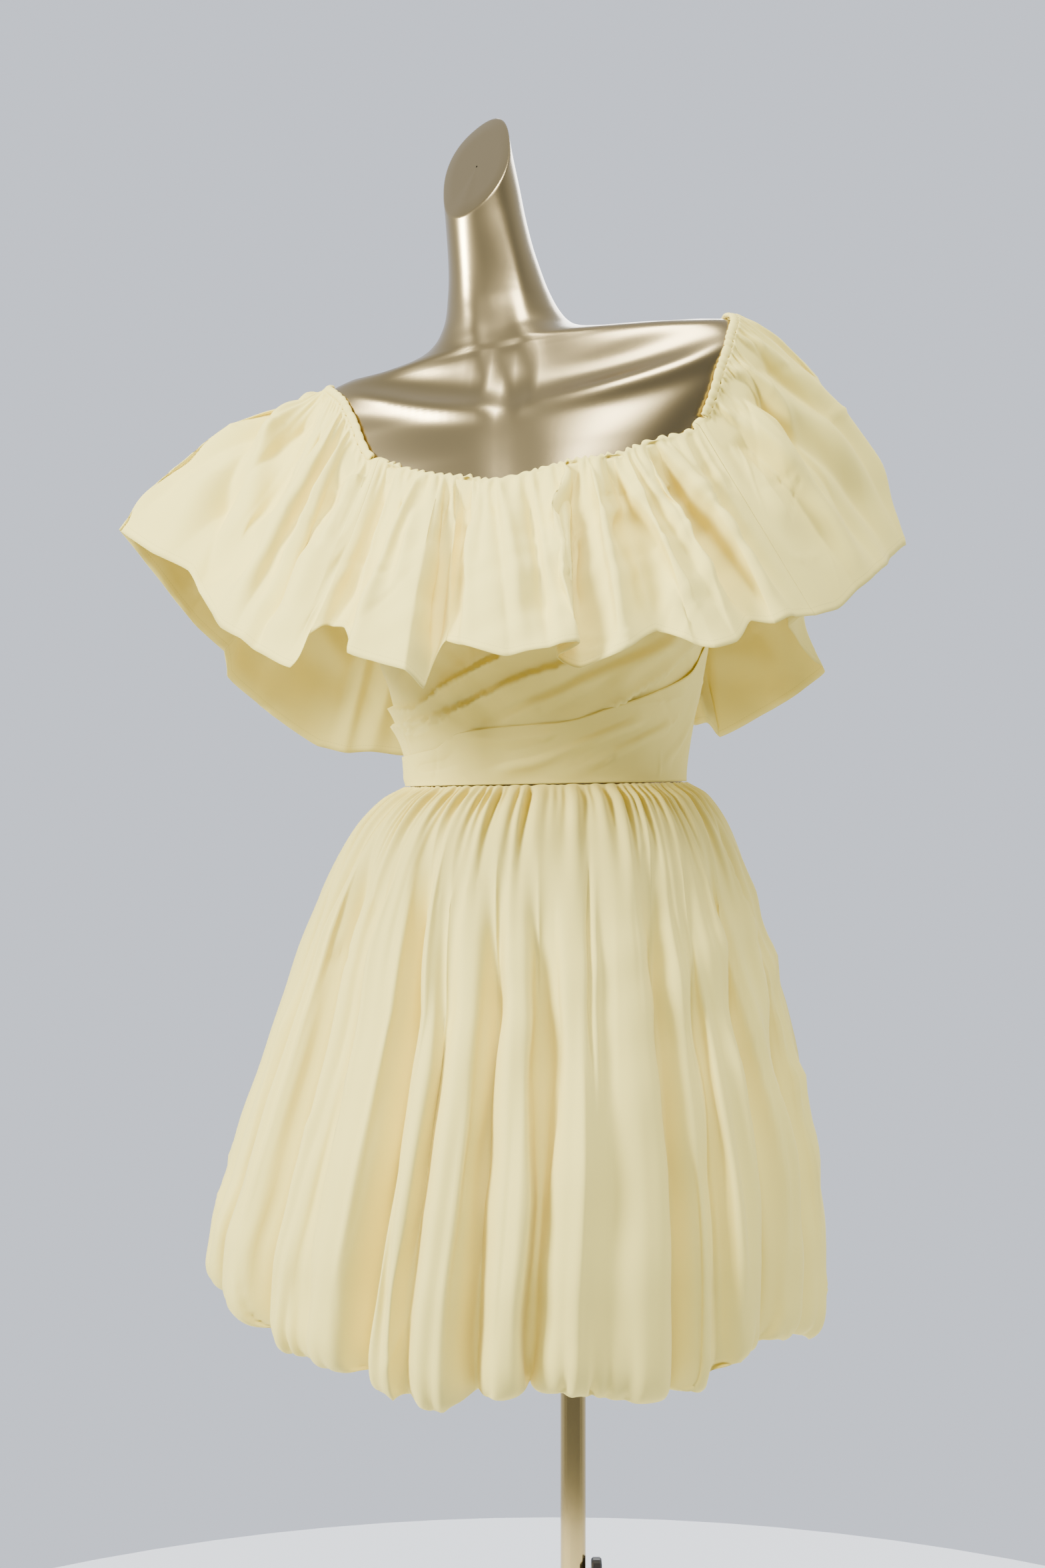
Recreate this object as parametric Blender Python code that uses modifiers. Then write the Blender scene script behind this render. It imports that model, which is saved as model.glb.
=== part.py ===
"""Off-shoulder dress with a deep ruffle and a bubble skirt, on a limbless dress form.

Metres, +Z up. The floor is Z = 0, the pole stands on X = Y = 0, the front of the dress
faces -Y and +X is the viewer's right. Heights in the tables are counted from the waist seam.
"""

import math

import bpy
import numpy as np

MM = 0.001

# Driving sizes
WAIST_Z = 1.060
CLOTH = 1.2 * MM
SEAM_GAP = 0.3 * MM
SKIN_GAP = 1.0 * MM
PIECE_GAP = 0.35 * MM

# Stand
BASE_RADIUS = 0.175
BASE_EDGE = 0.007
BASE_CROWN = 0.013
TUBE_OUTER = 12.5 * MM
TUBE_INNER = 11.3 * MM
TUBE_TOP = 0.380
POLE_RADIUS = 11.0 * MM
POLE_FOOT = 0.100
BOSS_RADIUS = 6.0 * MM
BOSS_LENGTH = 2.4 * MM
KNOB_RADIUS = 15.0 * MM
KNOB_LENGTH = 9.0 * MM
KNOB_Z = 0.3775
SOCKET_RADIUS = 19.0 * MM
SOCKET_FLANGE = 42.0 * MM
SOCKET_LENGTH = 60.0 * MM
ROUND_SIDES = 24

# Sections of the dress form, waist upwards and downwards, in millimetres and degrees:
# height, centre x, centre y, half width, front, back, roll (viewer's right up), turn
FORM_SECTIONS = (
    (-262, -6, 5, 130, 76, 88, 0, 0),
    (-235, -8, 5, 142, 86, 98, 0, 0),
    (-180, -12, 5, 150, 92, 105, 0, 0),
    (-100, -18, 3, 138, 89, 96, 0.3, 0),
    (-40, -22, 1, 121, 81, 81, 0.7, -1),
    (0, -23.5, 0, 117, 79, 77, 1, -2),
    (40, -24, 0, 122, 83, 79, 1.5, -3),
    (80, -24.5, 0, 131, 92, 84, 2.2, -4),
    (130, -27, 0, 142, 106, 89, 3.2, -6),
    (180, -31, 0, 151, 117, 93, 4.5, -8),
    (230, -35, 0, 162, 113, 97, 5.8, -10),
    (275, -37, 0, 180, 97, 99, 6.8, -12),
    (315, -37, 0, 196, 77, 95, 7.4, -13),
    (338, -36, 1, 199, 66, 88, 7.6, -13),
    (354, -36, 2, 193, 61, 82, 7.6, -13),
    (366, -37, 3, 183, 57, 76, 7.6, -13),
    (371, -39, 4, 167, 55, 72, 7.6, -13),
    (374, -43, 4, 130, 54, 68, 7.8, -13),
    (377, -49, 5, 94, 52, 62, 7.8, -12),
    (382, -54, 6, 72, 50, 57, 7.0, -11),
    (390, -57.5, 7, 59, 47, 51, 5.6, -9),
    (403, -60, 8, 50.5, 44, 47, 3.6, -7),
    (418, -63, 9, 45.5, 41, 44, 1.8, -6),
    (438, -66.5, 10, 41, 39, 41, 0, -5),
    (470, -72.5, 11, 36.5, 37, 39, 0, -5),
    (505, -78, 12, 34, 35, 38, 0, -5),
    (590, -89, 14, 31.5, 33, 36, 0, -5),
)
SECTION_POWER = 0.87
FORM_COLUMNS = 36
NECK_ROWS = 3
NECK_FOOT = 438
# The neck ends in a slanted flat: its highest point, and the flat's normal
NECK_TOP = (-63.0, 40.0, 588.0)
NECK_FLAT = (-0.50, -0.68, 0.54)

# Skirt sections, waist seam to the turned-under edge, in millimetres:
# drop, centre x, half width, front, back, share of the fold depth
SKIRT_SECTIONS = (
    (0.15, -23.5, 120.5, 83.5, 81.5, 0.00),
    (9, -24.5, 138, 104, 102, 0.12),
    (28, -27, 156, 122, 121, 0.28),
    (62, -30, 175, 143, 143, 0.47),
    (120, -34, 196, 168, 169, 0.68),
    (215, -38, 225, 207, 206, 0.88),
    (325, -44, 254, 249, 243, 1.00),
    (385, -49, 265, 265, 256, 1.00),
    (430, -51, 266, 268, 258, 1.00),
    (449, -51, 260, 262, 252, 0.96),
    (456, -51, 249, 251, 241, 0.88),
    (445, -51, 239, 241, 231, 0.80),
)
HEM_DROP = 456
LIFT_START = 325
WAIST_FADE = 180.0
# Skirt folds, side seam to side seam: angle at the waist, angle at the hem, inset of the
# cloth there (a crest has none) and the depth of the hem below the waist
SKIRT_FRONT_FOLDS = (
    (-90, -90, 3, 432),
    (-80, -83, 2, 424),
    (-73, -76, 12, 414),
    (-67, -71, 2, 414),
    (-62, -66, 22, 416),
    (-59, -59, 0, 426),
    (-54, -51.5, 36, 436),
    (-49, -45, 3, 442),
    (-43, -39, 12, 444),
    (-36, -33, 0, 446),
    (-29, -27, 34, 450),
    (-24, -22.8, 4, 457),
    (-20, -19, 20, 460),
    (-15, -14, 0, 467),
    (-9.5, -7, 34, 460),
    (-5.5, -1.5, 0, 456),
    (-1, 3.4, 34, 450),
    (7, 10, 0, 456),
    (15, 16, 8, 460),
    (22, 23, 0, 463),
    (31, 30.5, 30, 463),
    (36, 35, 4, 464),
    (41, 39.5, 16, 458),
    (48, 44, 0, 448),
    (60, 50, 24, 440),
    (67, 58, 0, 440),
    (74, 66.5, 26, 448),
    (82, 78, 2, 462),
    (90, 90, 3, 458),
)
SKIRT_BACK_FOLDS = (
    (90, 90, 3, 458),
    (97, 99, 2, 450),
    (105, 107, 26, 444),
    (112, 113, 2, 448),
    (118, 118, 14, 450),
    (125, 126, 0, 452),
    (133, 134, 34, 450),
    (140, 141, 0, 448),
    (146, 146, 16, 450),
    (153, 154, 0, 454),
    (161, 162, 40, 456),
    (168, 169, 2, 458),
    (174, 174, 18, 458),
    (181, 182, 0, 456),
    (190, 190, 34, 452),
    (197, 198, 0, 450),
    (204, 204, 14, 450),
    (211, 212, 0, 452),
    (219, 220, 38, 452),
    (226, 227, 2, 450),
    (232, 232, 16, 448),
    (240, 241, 0, 444),
    (249, 249, 28, 440),
    (255, 256, 0, 436),
    (262, 262, 2, 434),
    (270, 270, 3, 432),
)
SKIRT_STEPS = 2
GATHER_DEPTH = 3.2
GATHER_FADE = 70
FOLD_SHARPNESS = 1.7

# Centre that the ruffle's hem angles and reaches are measured about
RUFFLE_CENTRE_X = -40
# Neckline as it lies on the form: mark along it, angle on the form, height on the form.
# The marks run round the neck from the viewer's left at the back
NECKLINE = (
    (-134, -124, 292),
    (-122, -121, 318),
    (-108, -112, 350),
    (-97, -100, 365),
    (-88, -84, 368),
    (-80, -66, 363),
    (-72, -50, 348),
    (-66, -42.5, 324),
    (-60, -37.5, 291),
    (-50, -30, 278),
    (-38, -21, 266),
    (-25, -11, 257),
    (-10, -1, 249.5),
    (5, 10.5, 255),
    (18, 18.5, 257.5),
    (30, 27, 258),
    (42, 38, 266),
    (55, 55, 275),
    (61, 57, 292),
    (67, 57.5, 316),
    (74, 60, 340),
    (82, 70, 360),
    (90, 84, 369),
    (98, 98, 370),
    (107, 112, 360),
    (116, 122, 334),
    (124, 128, 304),
    (140, 148, 284),
    (160, 167, 272),
    (180, 186, 268),
    (200, 204, 270),
    (215, 222, 280),
    (226, 236, 292),
)

# Ruffle folds of each piece, by increasing angle: angle at the neckline, angle, reach and
# height of the hem, and how far the cloth arches between the two
SLEEVE_LEFT_FOLDS = (
    (-122, -111, 296, 122, 0),
    (-112, -103, 310, 148, 14),
    (-103, -97, 333, 188, 16),
    (-95, -93, 358, 223, 18),
    (-90, -87, 320, 197, 16),
    (-85, -81.5, 290, 181, 16),
    (-80, -74.5, 280, 156, -8),
    (-74, -64, 273, 125, 8),
    (-69, -58, 268, 115, 2),
    (-64, -53, 265, 104, 6),
    (-59, -43.6, 264, 91, 2),
    (-56.5, -43.2, 250, 117, -4),
)
FLOUNCE_FRONT_FOLDS = (
    (-56, -42.6, 249, 118, -4),
    (-51, -42.0, 232, 125, -4),
    (-47, -39.5, 227, 124, -2),
    (-42, -33.5, 245, 100, 6),
    (-36, -28, 249, 94, 4),
    (-31, -21.5, 252, 87, 6),
    (-27, -19.2, 238, 74, 4),
    (-24, -18.6, 222, 96, -6),
    (-21, -17.4, 209, 108, -6),
    (-16, -13, 228, 106, 4),
    (-9, -4, 246, 96, 8),
    (0, 3, 246, 101, 0),
    (8, 8.6, 240, 106, 6),
    (12, 8.4, 212, 97, -6),
    (16, 10.2, 226, 90, -2),
    (21, 16.5, 246, 98, 6),
    (30, 26, 228, 117, -8),
    (34, 30, 252, 108, 6),
    (37, 33, 261, 104, 2),
    (40, 38, 262, 110, 6),
    (43, 45, 249, 127, -10),
    (47, 47, 263, 126, 4),
    (51.5, 51.5, 269, 133, -2),
    (56, 56, 279, 139, 4),
)
SLEEVE_RIGHT_FOLDS = (
    (57, 60, 262, 129, 2),
    (62, 66, 273, 141, 8),
    (68, 72, 287, 160, 14),
    (75, 78, 299, 177, 8),
    (83, 84.5, 311, 191, 20),
    (90, 90, 324, 206, 26),
    (99, 94, 300, 192, 26),
    (108, 99, 262, 164, 14),
    (116, 104, 240, 141, 4),
)
FLOUNCE_BACK_FOLDS = (
    (117, 104.5, 240, 140, 0),
    (122, 108, 272, 112, 6),
    (127, 110.5, 289, 102, 4),
    (132, 117, 282, 84, 0),
    (137, 125, 280, 69, 6),
    (142, 136, 265, 46, 4),
    (145, 135, 241, 58, -6),
    (149, 139, 245, 56, 4),
    (154, 146, 215, 64, -8),
    (159, 151, 233, 48, 6),
    (165, 159, 206, 58, -8),
    (171, 167, 224, 42, 6),
    (177, 175, 196, 54, -8),
    (182, 182, 218, 38, 6),
    (187, 190, 200, 48, -8),
    (192, 197, 226, 34, 6),
    (197, 203, 212, 42, -8),
    (202, 210, 234, 29, 6),
    (207, 217, 246, 31, -2),
    (213, 220, 263, 31, 4),
    (219, 225, 282, 36, 6),
    (226, 236, 304, 76, 2),
    (232, 245, 305, 100, 6),
    (237, 248.4, 297, 121, 0),
)
RUFFLE_STEPS = 2
RUFFLE_ROWS = (0.0, 0.05, 0.16, 0.42, 0.72, 1.0)
RUFFLE_GATHER = 2.6
RUFFLE_GATHER_FADE = 0.30
RUFFLE_SEAT = 3.7
SLEEVE_SEAT = 4.6
SLEEVE_LIFT = 1.4

# Casings of the two shoulder stretches: half width and half thickness of the elastic roll
CASING_HALF_WIDTH = 3.6
CASING_HALF_THICK = 2.0
CASING_RIDGES = 18
CASING_RIDGE = 0.7
CASING_SIDES = 6
CASING_LIFT = 3.2
CASING_LEFT = (-121.5, -59.0)
CASING_RIGHT = (59.0, 116.5)

# Edges on the bodice front as angle and height: armhole and neck edge, both pleats, and the
# upper edge of the wrap panel
BODICE_TOP = ((-90, 196), (-74, 212), (-52, 256), (-37.5, 282), (-30, 276), (-21, 265),
              (-11, 256), (-1, 248.5), (10.5, 254), (18.5, 256.5), (27, 257), (38, 265),
              (55, 274), (66, 250), (78, 214), (90, 200))
UPPER_PLEAT = ((-90, 63), (-62, 64), (-25, 95), (5, 118), (40, 146), (90, 176))
LOWER_PLEAT = ((-90, 47), (-52, 54), (-32, 64), (5, 94), (40, 112), (90, 140))
WRAP_TOP = ((-90, 26), (-80, 26), (-44, 31), (-30, 44), (-14, 47.5), (5, 50), (25, 62),
            (62, 86), (90, 116))
BACK_TOP = ((90, 200), (106, 214), (122, 262), (134, 289), (148, 283), (167, 271), (186, 267),
            (204, 269), (222, 279), (234, 287), (246, 259), (258, 212), (270, 196))
BODICE_FOOT = 0.2
BODICE_STEP = 6.0
PLEAT_RISE = 2.6
PLEAT_DROP = 3.0
WRAP_SHARES = (0.0, 0.35, 0.70, 1.0)
BACK_SHARES = (0.0, 0.15, 0.30, 0.45, 0.58, 0.72, 0.86, 1.0)
WAIST_ROW = 5
BUST_EASE = 4.2
BUST_HEIGHT = 205
BUST_SPREAD = (60, 28)

GOLD_FORM = ("champagne_gold", (0.62, 0.52, 0.33), 0.28, 1.0)
GOLD_POLE = ("polished_gold", (0.70, 0.55, 0.28), 0.12, 1.0)
BLACK_PLASTIC = ("black_plastic", (0.02, 0.02, 0.02), 0.45, 0.0)
YELLOW_COTTON = ("yellow_cotton", (0.90, 0.82, 0.48), 0.85, 0.0)


def clear_scene():
    for obj in list(bpy.data.objects):
        bpy.data.objects.remove(obj, do_unlink=True)


def material(look):
    name, colour, roughness, metallic = look
    found = bpy.data.materials.get(name)
    if found:
        return found
    made = bpy.data.materials.new(name)
    made.use_nodes = True
    shader = made.node_tree.nodes["Principled BSDF"]
    shader.inputs["Base Color"].default_value = (*colour, 1.0)
    shader.inputs["Roughness"].default_value = roughness
    shader.inputs["Metallic"].default_value = metallic
    return made


def smooth(at, rows, values):
    """Cubic through the table's points, level at both ends, that never overshoots them."""
    rows = np.asarray(rows, float)
    values = np.asarray(values, float)
    step = np.diff(rows)
    rise = np.diff(values) / step
    pair = rise[:-1] * rise[1:]
    total = np.where(pair > 0, rise[:-1] + rise[1:], 1.0)
    slope = np.concatenate(([0.0], np.where(pair > 0, 2 * pair / total, 0.0), [0.0]))
    at = np.clip(at, rows[0], rows[-1])
    k = np.clip(np.searchsorted(rows, at, side="right") - 1, 0, len(step) - 1)
    t = (at - rows[k]) / step[k]
    start = values[k] + step[k] * slope[k] * t * (1 - t) ** 2
    end = step[k] * slope[k + 1] * t * t * (t - 1)
    return start + end + (values[k + 1] - values[k]) * t * t * (3 - 2 * t)


def from_table(table, column, at):
    return smooth(at, [row[0] for row in table], [row[column] for row in table])


def straight(table, column, at):
    return np.interp(at, [row[0] for row in table], [row[column] for row in table])


def signed_power(value, power):
    return np.sign(value) * np.abs(value) ** power


def oval(angle, centre_x, centre_y, half, front, back, height, roll, turn, power):
    """Point on a rounded oval: half the width to each side, front and back deep, with the
    sine and cosine raised to a power, turned about Z and then rolled about Y."""
    side = half * signed_power(np.sin(np.radians(angle)), power)
    depth = -signed_power(np.cos(np.radians(angle)), power)
    depth = depth * np.where(depth < 0, front, back)
    roll = np.radians(roll)
    turn = np.radians(turn)
    across = side * np.cos(turn) - depth * np.sin(turn)
    along = side * np.sin(turn) + depth * np.cos(turn)
    return np.stack((
        centre_x + across * np.cos(roll),
        centre_y + along,
        height + across * np.sin(roll),
    ), axis=-1)


def skin(angle, height, grow=0.0):
    """Point on the dress form at an angle (0 front, 90 toward +X) and a height, in
    millimetres, with the section grown. Between its sections the form runs straight."""
    angle, height, grow = np.broadcast_arrays(angle, height, grow)
    centre_x, centre_y, half, front, back, roll, turn = (
        straight(FORM_SECTIONS, column, height) for column in range(1, 8)
    )
    return oval(angle, centre_x, centre_y, half + grow, front + grow, back + grow,
                height, roll, turn, SECTION_POWER)


def skin_normal(angle, height):
    """Outward direction of the form's skin, from its slopes along angle and height."""
    around = skin(np.asarray(angle) + 2.0, height) - skin(np.asarray(angle) - 2.0, height)
    upward = skin(angle, np.asarray(height) + 4.0) - skin(angle, np.asarray(height) - 4.0)
    normal = np.cross(around, upward)
    return normal / np.linalg.norm(normal, axis=-1, keepdims=True)


def neck_cut(angle):
    """Height on the neck, by angle, at which its skin meets the slanted flat."""
    height = np.full(np.shape(angle), NECK_TOP[2] - 45.0)
    for _ in range(30):
        point = skin(angle, height)
        gap = sum((point[..., i] - NECK_TOP[i]) * NECK_FLAT[i] for i in range(3))
        height = height - gap / NECK_FLAT[2] * 0.6
    return height


def world(points):
    """Metres above the floor, from millimetres above the waist."""
    return np.asarray(points, float) * MM + np.array((0.0, 0.0, WAIST_Z))


def add_mesh(name, points, faces, look, part):
    mesh = bpy.data.meshes.new(name)
    flat = np.asarray(points, float).reshape(-1, 3)
    mesh.from_pydata([tuple(p) for p in flat], [], faces)
    mesh.validate()
    mesh.shade_smooth()
    obj = bpy.data.objects.new(name, mesh)
    obj.data.materials.append(material(look))
    part.objects.link(obj)
    return obj


def grid_faces(rows, columns, closed=False, flip=False):
    """Quads over a grid of points, counted row by row."""
    faces = []
    for i in range(rows - 1):
        for j in range(columns if closed else columns - 1):
            k = (j + 1) % columns
            quad = (i * columns + j, i * columns + k, (i + 1) * columns + k, (i + 1) * columns + j)
            faces.append(quad[::-1] if flip else quad)
    return faces


def split_quads(quads, points):
    """Two triangles for each quad, cut across its shorter diagonal."""
    faces = []
    for a, b, c, d in quads:
        if np.linalg.norm(points[a] - points[c]) <= np.linalg.norm(points[b] - points[d]):
            faces += [(a, b, c), (a, c, d)]
        else:
            faces += [(a, b, d), (b, c, d)]
    return faces


def add_cloth(name, grid, part):
    """An open sheet of cloth, with its thickness toward the inside."""
    rows, columns = grid.shape[:2]
    faces = split_quads(grid_faces(rows, columns), grid.reshape(-1, 3))
    obj = add_mesh(name, world(grid), faces, YELLOW_COTTON, part)
    wall = obj.modifiers.new("cloth thickness", "SOLIDIFY")
    wall.thickness = CLOTH
    wall.offset = -1.0
    return obj


def add_wall(name, inner, outer, part):
    """A wall between a plain inner grid and an outer grid that carries the pleats."""
    rows, columns = inner.shape[:2]
    count = rows * columns
    sheet = split_quads(grid_faces(rows, columns), outer.reshape(-1, 3))
    faces = [tuple(count + corner for corner in face) for face in sheet]
    faces += [face[::-1] for face in sheet]
    rim = [j for j in range(columns)]
    rim += [i * columns + columns - 1 for i in range(1, rows)]
    rim += [(rows - 1) * columns + j for j in range(columns - 2, -1, -1)]
    rim += [i * columns for i in range(rows - 2, 0, -1)]
    for a, b in zip(rim, rim[1:] + rim[:1]):
        faces.append((a, b, count + b, count + a))
    points = np.concatenate((inner.reshape(-1, 3), outer.reshape(-1, 3)))
    return add_mesh(name, world(points), faces, YELLOW_COTTON, part)


def add_turned(name, profile, look, part, closed=False):
    """A round solid: a profile of (radius, height) pairs, top to bottom, spun about Z."""
    mesh = bpy.data.meshes.new(name)
    edges = [(i, i + 1) for i in range(len(profile) - 1)]
    if closed:
        edges.append((len(profile) - 1, 0))
    mesh.from_pydata([(r, 0.0, z) for r, z in profile], edges, [])
    obj = bpy.data.objects.new(name, mesh)
    obj.data.materials.append(material(look))
    part.objects.link(obj)
    spin = obj.modifiers.new("turned", "SCREW")
    spin.steps = ROUND_SIDES
    spin.render_steps = ROUND_SIDES
    spin.use_merge_vertices = True
    spin.merge_threshold = 0.00001
    spin.use_smooth_shade = True
    return obj


def form_grid():
    """Rings of the form from its foot to the slanted flat at the top of the neck."""
    angles = np.arange(FORM_COLUMNS) * 360.0 / FORM_COLUMNS
    levels = [row[0] for row in FORM_SECTIONS if row[0] <= NECK_FOOT]
    rings = [skin(angles, float(level)) for level in levels]
    cut = neck_cut(angles)
    for k in range(1, NECK_ROWS + 1):
        rings.append(skin(angles, NECK_FOOT + (cut - NECK_FOOT) * k / NECK_ROWS))
    return np.array(rings)


def build_form(part):
    grid = form_grid()
    rows, columns = grid.shape[:2]
    faces = grid_faces(rows, columns, closed=True)
    faces.append(tuple(range(columns))[::-1])
    faces.append(tuple((rows - 1) * columns + j for j in range(columns)))
    return add_mesh("form_body", world(grid), faces, GOLD_FORM, part)


def add_rod(name, radius, low, high, look, part, axis="Z"):
    bpy.ops.mesh.primitive_cylinder_add(vertices=ROUND_SIDES, radius=radius, depth=high - low)
    rod = bpy.context.object
    rod.name = name
    rod.data.name = name
    rod.data.materials.append(material(look))
    rod.data.shade_smooth()
    rod.data.set_sharp_from_angle(angle=math.radians(40))
    for holder in list(rod.users_collection):
        holder.objects.unlink(rod)
    part.objects.link(rod)
    middle = (low + high) / 2
    if axis == "X":
        rod.rotation_euler = (0.0, math.radians(90), 0.0)
        rod.location = (middle, 0.0, KNOB_Z)
    else:
        rod.location = (0.0, 0.0, middle)
    return rod


def build_stand(part):
    form_foot = WAIST_Z + FORM_SECTIONS[0][0] * MM
    add_turned("base_plate", (
        (0.0, BASE_CROWN),
        (TUBE_OUTER * 2.2, BASE_CROWN),
        (BASE_RADIUS * 0.82, BASE_EDGE + 0.0015),
        (BASE_RADIUS - 0.002, BASE_EDGE),
        (BASE_RADIUS, BASE_EDGE - 0.002),
        (BASE_RADIUS, 0.0),
        (0.0, 0.0),
    ), GOLD_POLE, part)
    tube_foot = BASE_CROWN + PIECE_GAP
    add_turned("lower_tube", (
        (TUBE_OUTER, TUBE_TOP),
        (TUBE_OUTER, tube_foot),
        (TUBE_INNER, tube_foot),
        (TUBE_INNER, TUBE_TOP),
    ), GOLD_POLE, part, closed=True)
    add_rod("upper_pole", POLE_RADIUS, POLE_FOOT, form_foot - PIECE_GAP, GOLD_POLE, part)
    socket_top = form_foot - PIECE_GAP
    socket_hole = POLE_RADIUS + PIECE_GAP
    add_turned("pole_socket", (
        (SOCKET_FLANGE, socket_top),
        (SOCKET_FLANGE, socket_top - 0.004),
        (SOCKET_RADIUS, socket_top - 0.006),
        (SOCKET_RADIUS, socket_top - SOCKET_LENGTH),
        (socket_hole, socket_top - SOCKET_LENGTH),
        (socket_hole, socket_top),
    ), GOLD_POLE, part, closed=True)
    boss_start = TUBE_OUTER + PIECE_GAP
    boss_end = boss_start + BOSS_LENGTH
    add_rod("lock_boss", BOSS_RADIUS, boss_start, boss_end, GOLD_POLE, part, axis="X")
    knob_start = boss_end + PIECE_GAP
    knob = add_rod("lock_knob", KNOB_RADIUS, knob_start, knob_start + KNOB_LENGTH,
                   BLACK_PLASTIC, part, axis="X")
    edge = knob.modifiers.new("rounded rim", "BEVEL")
    edge.width = 0.0015
    edge.segments = 1
    edge.limit_method = "ANGLE"


def panel_angles(first, last, step):
    """Columns of a bodice panel, which stops half a seam gap short at each side."""
    angles = np.arange(first, last + 0.1, step, dtype=float)
    side = math.degrees(SEAM_GAP / 2 / (FORM_SECTIONS[WAIST_ROW][3] * MM))
    angles[0] += side
    angles[-1] -= side
    return angles


def wrap_levels(angles):
    """The rows that the wrap panel and the bodice front under it share."""
    wrap = from_table(WRAP_TOP, 1, angles)
    return [BODICE_FOOT + (wrap - BODICE_FOOT) * share for share in WRAP_SHARES]


def ease(height):
    """Room between cloth and form, which grows over the fullest part of the chest."""
    spread = np.where(height < BUST_HEIGHT, *BUST_SPREAD)
    return SKIN_GAP / MM + BUST_EASE * np.exp(-((height - BUST_HEIGHT) / spread) ** 2)


def build_bodice_front(part):
    """Rows run along the pleats. A pleat's edge stands proud and falls away above it."""
    angles = panel_angles(-90, 90, BODICE_STEP)
    top, upper, lower = (from_table(line, 1, angles) for line in (BODICE_TOP, UPPER_PLEAT, LOWER_PLEAT))
    rows = [(level, 0.0) for level in wrap_levels(angles)]
    rows += [
        (lower - PLEAT_DROP, 0.0),
        (lower, PLEAT_RISE),
        (lower + (upper - lower) * 0.45, PLEAT_RISE * 0.25),
        (upper - PLEAT_DROP, 0.0),
        (upper, PLEAT_RISE),
        (upper + (top - upper) * 0.16, PLEAT_RISE * 0.3),
        (upper + (top - upper) * 0.40, 0.0),
        (upper + (top - upper) * 0.66, 0.0),
        (upper + (top - upper) * 0.84, 0.0),
        (top, 0.0),
    ]
    fade = np.clip((90 - np.abs(angles)) / 12.0, 0, 1)
    inner = np.array([skin(angles, level, ease(level)) for level, _ in rows])
    outer = np.array([
        skin(angles, level, ease(level) + CLOTH / MM + rise * fade) for level, rise in rows
    ])
    add_wall("bodice_front", inner, outer, part)


def build_wrap(part):
    angles = panel_angles(-90, 90, BODICE_STEP)
    start = (CLOTH + PIECE_GAP) / MM
    levels = wrap_levels(angles)
    inner = np.array([skin(angles, level, ease(level) + start) for level in levels])
    outer = np.array([skin(angles, level, ease(level) + start + CLOTH / MM) for level in levels])
    add_wall("bodice_wrap", inner, outer, part)


def build_bodice_back(part):
    angles = panel_angles(90, 270, BODICE_STEP)
    top = from_table(BACK_TOP, 1, angles)
    levels = [BODICE_FOOT + (top - BODICE_FOOT) * share for share in BACK_SHARES]
    inner = np.array([skin(angles, level, ease(level)) for level in levels])
    outer = np.array([skin(angles, level, ease(level) + CLOTH / MM) for level in levels])
    add_wall("bodice_back", inner, outer, part)


def fold_depth(steps, values):
    """Depth between a crest and the trough beside it: it stays shallow over the crest and
    drops late, by the share of the way raised to FOLD_SHARPNESS."""
    low = np.minimum(values[:-1], values[1:])
    high = np.maximum(values[:-1], values[1:])
    k = np.minimum(steps.astype(int), len(values) - 2)
    depth = smooth(steps, np.arange(len(values)), values)
    share = (depth - low[k]) / np.maximum(high[k] - low[k], 1e-9)
    return low[k] + (high[k] - low[k]) * share ** FOLD_SHARPNESS


def skirt_grid(folds):
    """Skirt panel: each row is an oval whose radius is cut back by the folds, which widen
    from the waist down, and which carries small gathers just under the waist seam."""
    table = np.array(folds, float)
    index = np.arange(len(table))
    steps = np.linspace(0, len(table) - 1, (len(table) - 1) * SKIRT_STEPS + 1)
    at_waist = np.interp(steps, index, table[:, 0])
    at_hem = np.interp(steps, index, table[:, 1])
    inset = fold_depth(steps, table[:, 2])
    hem = smooth(steps, index, table[:, 3])
    gather = np.where(np.arange(len(steps)) % 2 == 0, 0.0, GATHER_DEPTH)
    gather[:2] = 0.0
    gather[-2:] = 0.0
    waist = FORM_SECTIONS[WAIST_ROW]
    rows = []
    for drop, centre, half, front, back, share in SKIRT_SECTIONS:
        swing = min(1.0, drop / 300.0) ** 0.7
        angle = at_waist + (at_hem - at_waist) * swing
        edge = np.degrees(SEAM_GAP / 2 / (half * MM))
        angle[0] = angle[0] + edge
        angle[-1] = angle[-1] - edge
        fade = max(0.0, 1.0 - drop / GATHER_FADE) ** 1.5
        hang = min(1.0, drop / WAIST_FADE)
        size = 1.0 - (inset * share + gather * fade * 0.5) / half
        lift = (hem - HEM_DROP) * np.clip((drop - LIFT_START) / (HEM_DROP - LIFT_START), 0, 1)
        rows.append(oval(angle, centre, 0.0, half * size, front * size, back * size,
                         -(drop + lift), waist[6] * (1 - hang), waist[7] * (1 - hang),
                         SECTION_POWER + (1.0 - SECTION_POWER) * hang))
    return np.array(rows)[::-1]


def neckline(mark, off):
    """Point off the form's skin at a mark of the neckline, and the skin's normal there."""
    mark = (np.asarray(mark, float) - NECKLINE[0][0]) % 360.0 + NECKLINE[0][0]
    angle = from_table(NECKLINE, 1, mark)
    height = from_table(NECKLINE, 2, mark)
    normal = skin_normal(angle, height)
    return skin(angle, height) + normal * off, normal


def neck_frame(mark, off):
    """The neckline with its outward direction along the skin, away from the neck."""
    point, normal = neckline(mark, off)
    ahead = neckline(np.asarray(mark) + 1.0, off)[0] - neckline(np.asarray(mark) - 1.0, off)[0]
    across = np.cross(ahead, normal)
    return point, normal, across / np.linalg.norm(across, axis=-1, keepdims=True)


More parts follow.
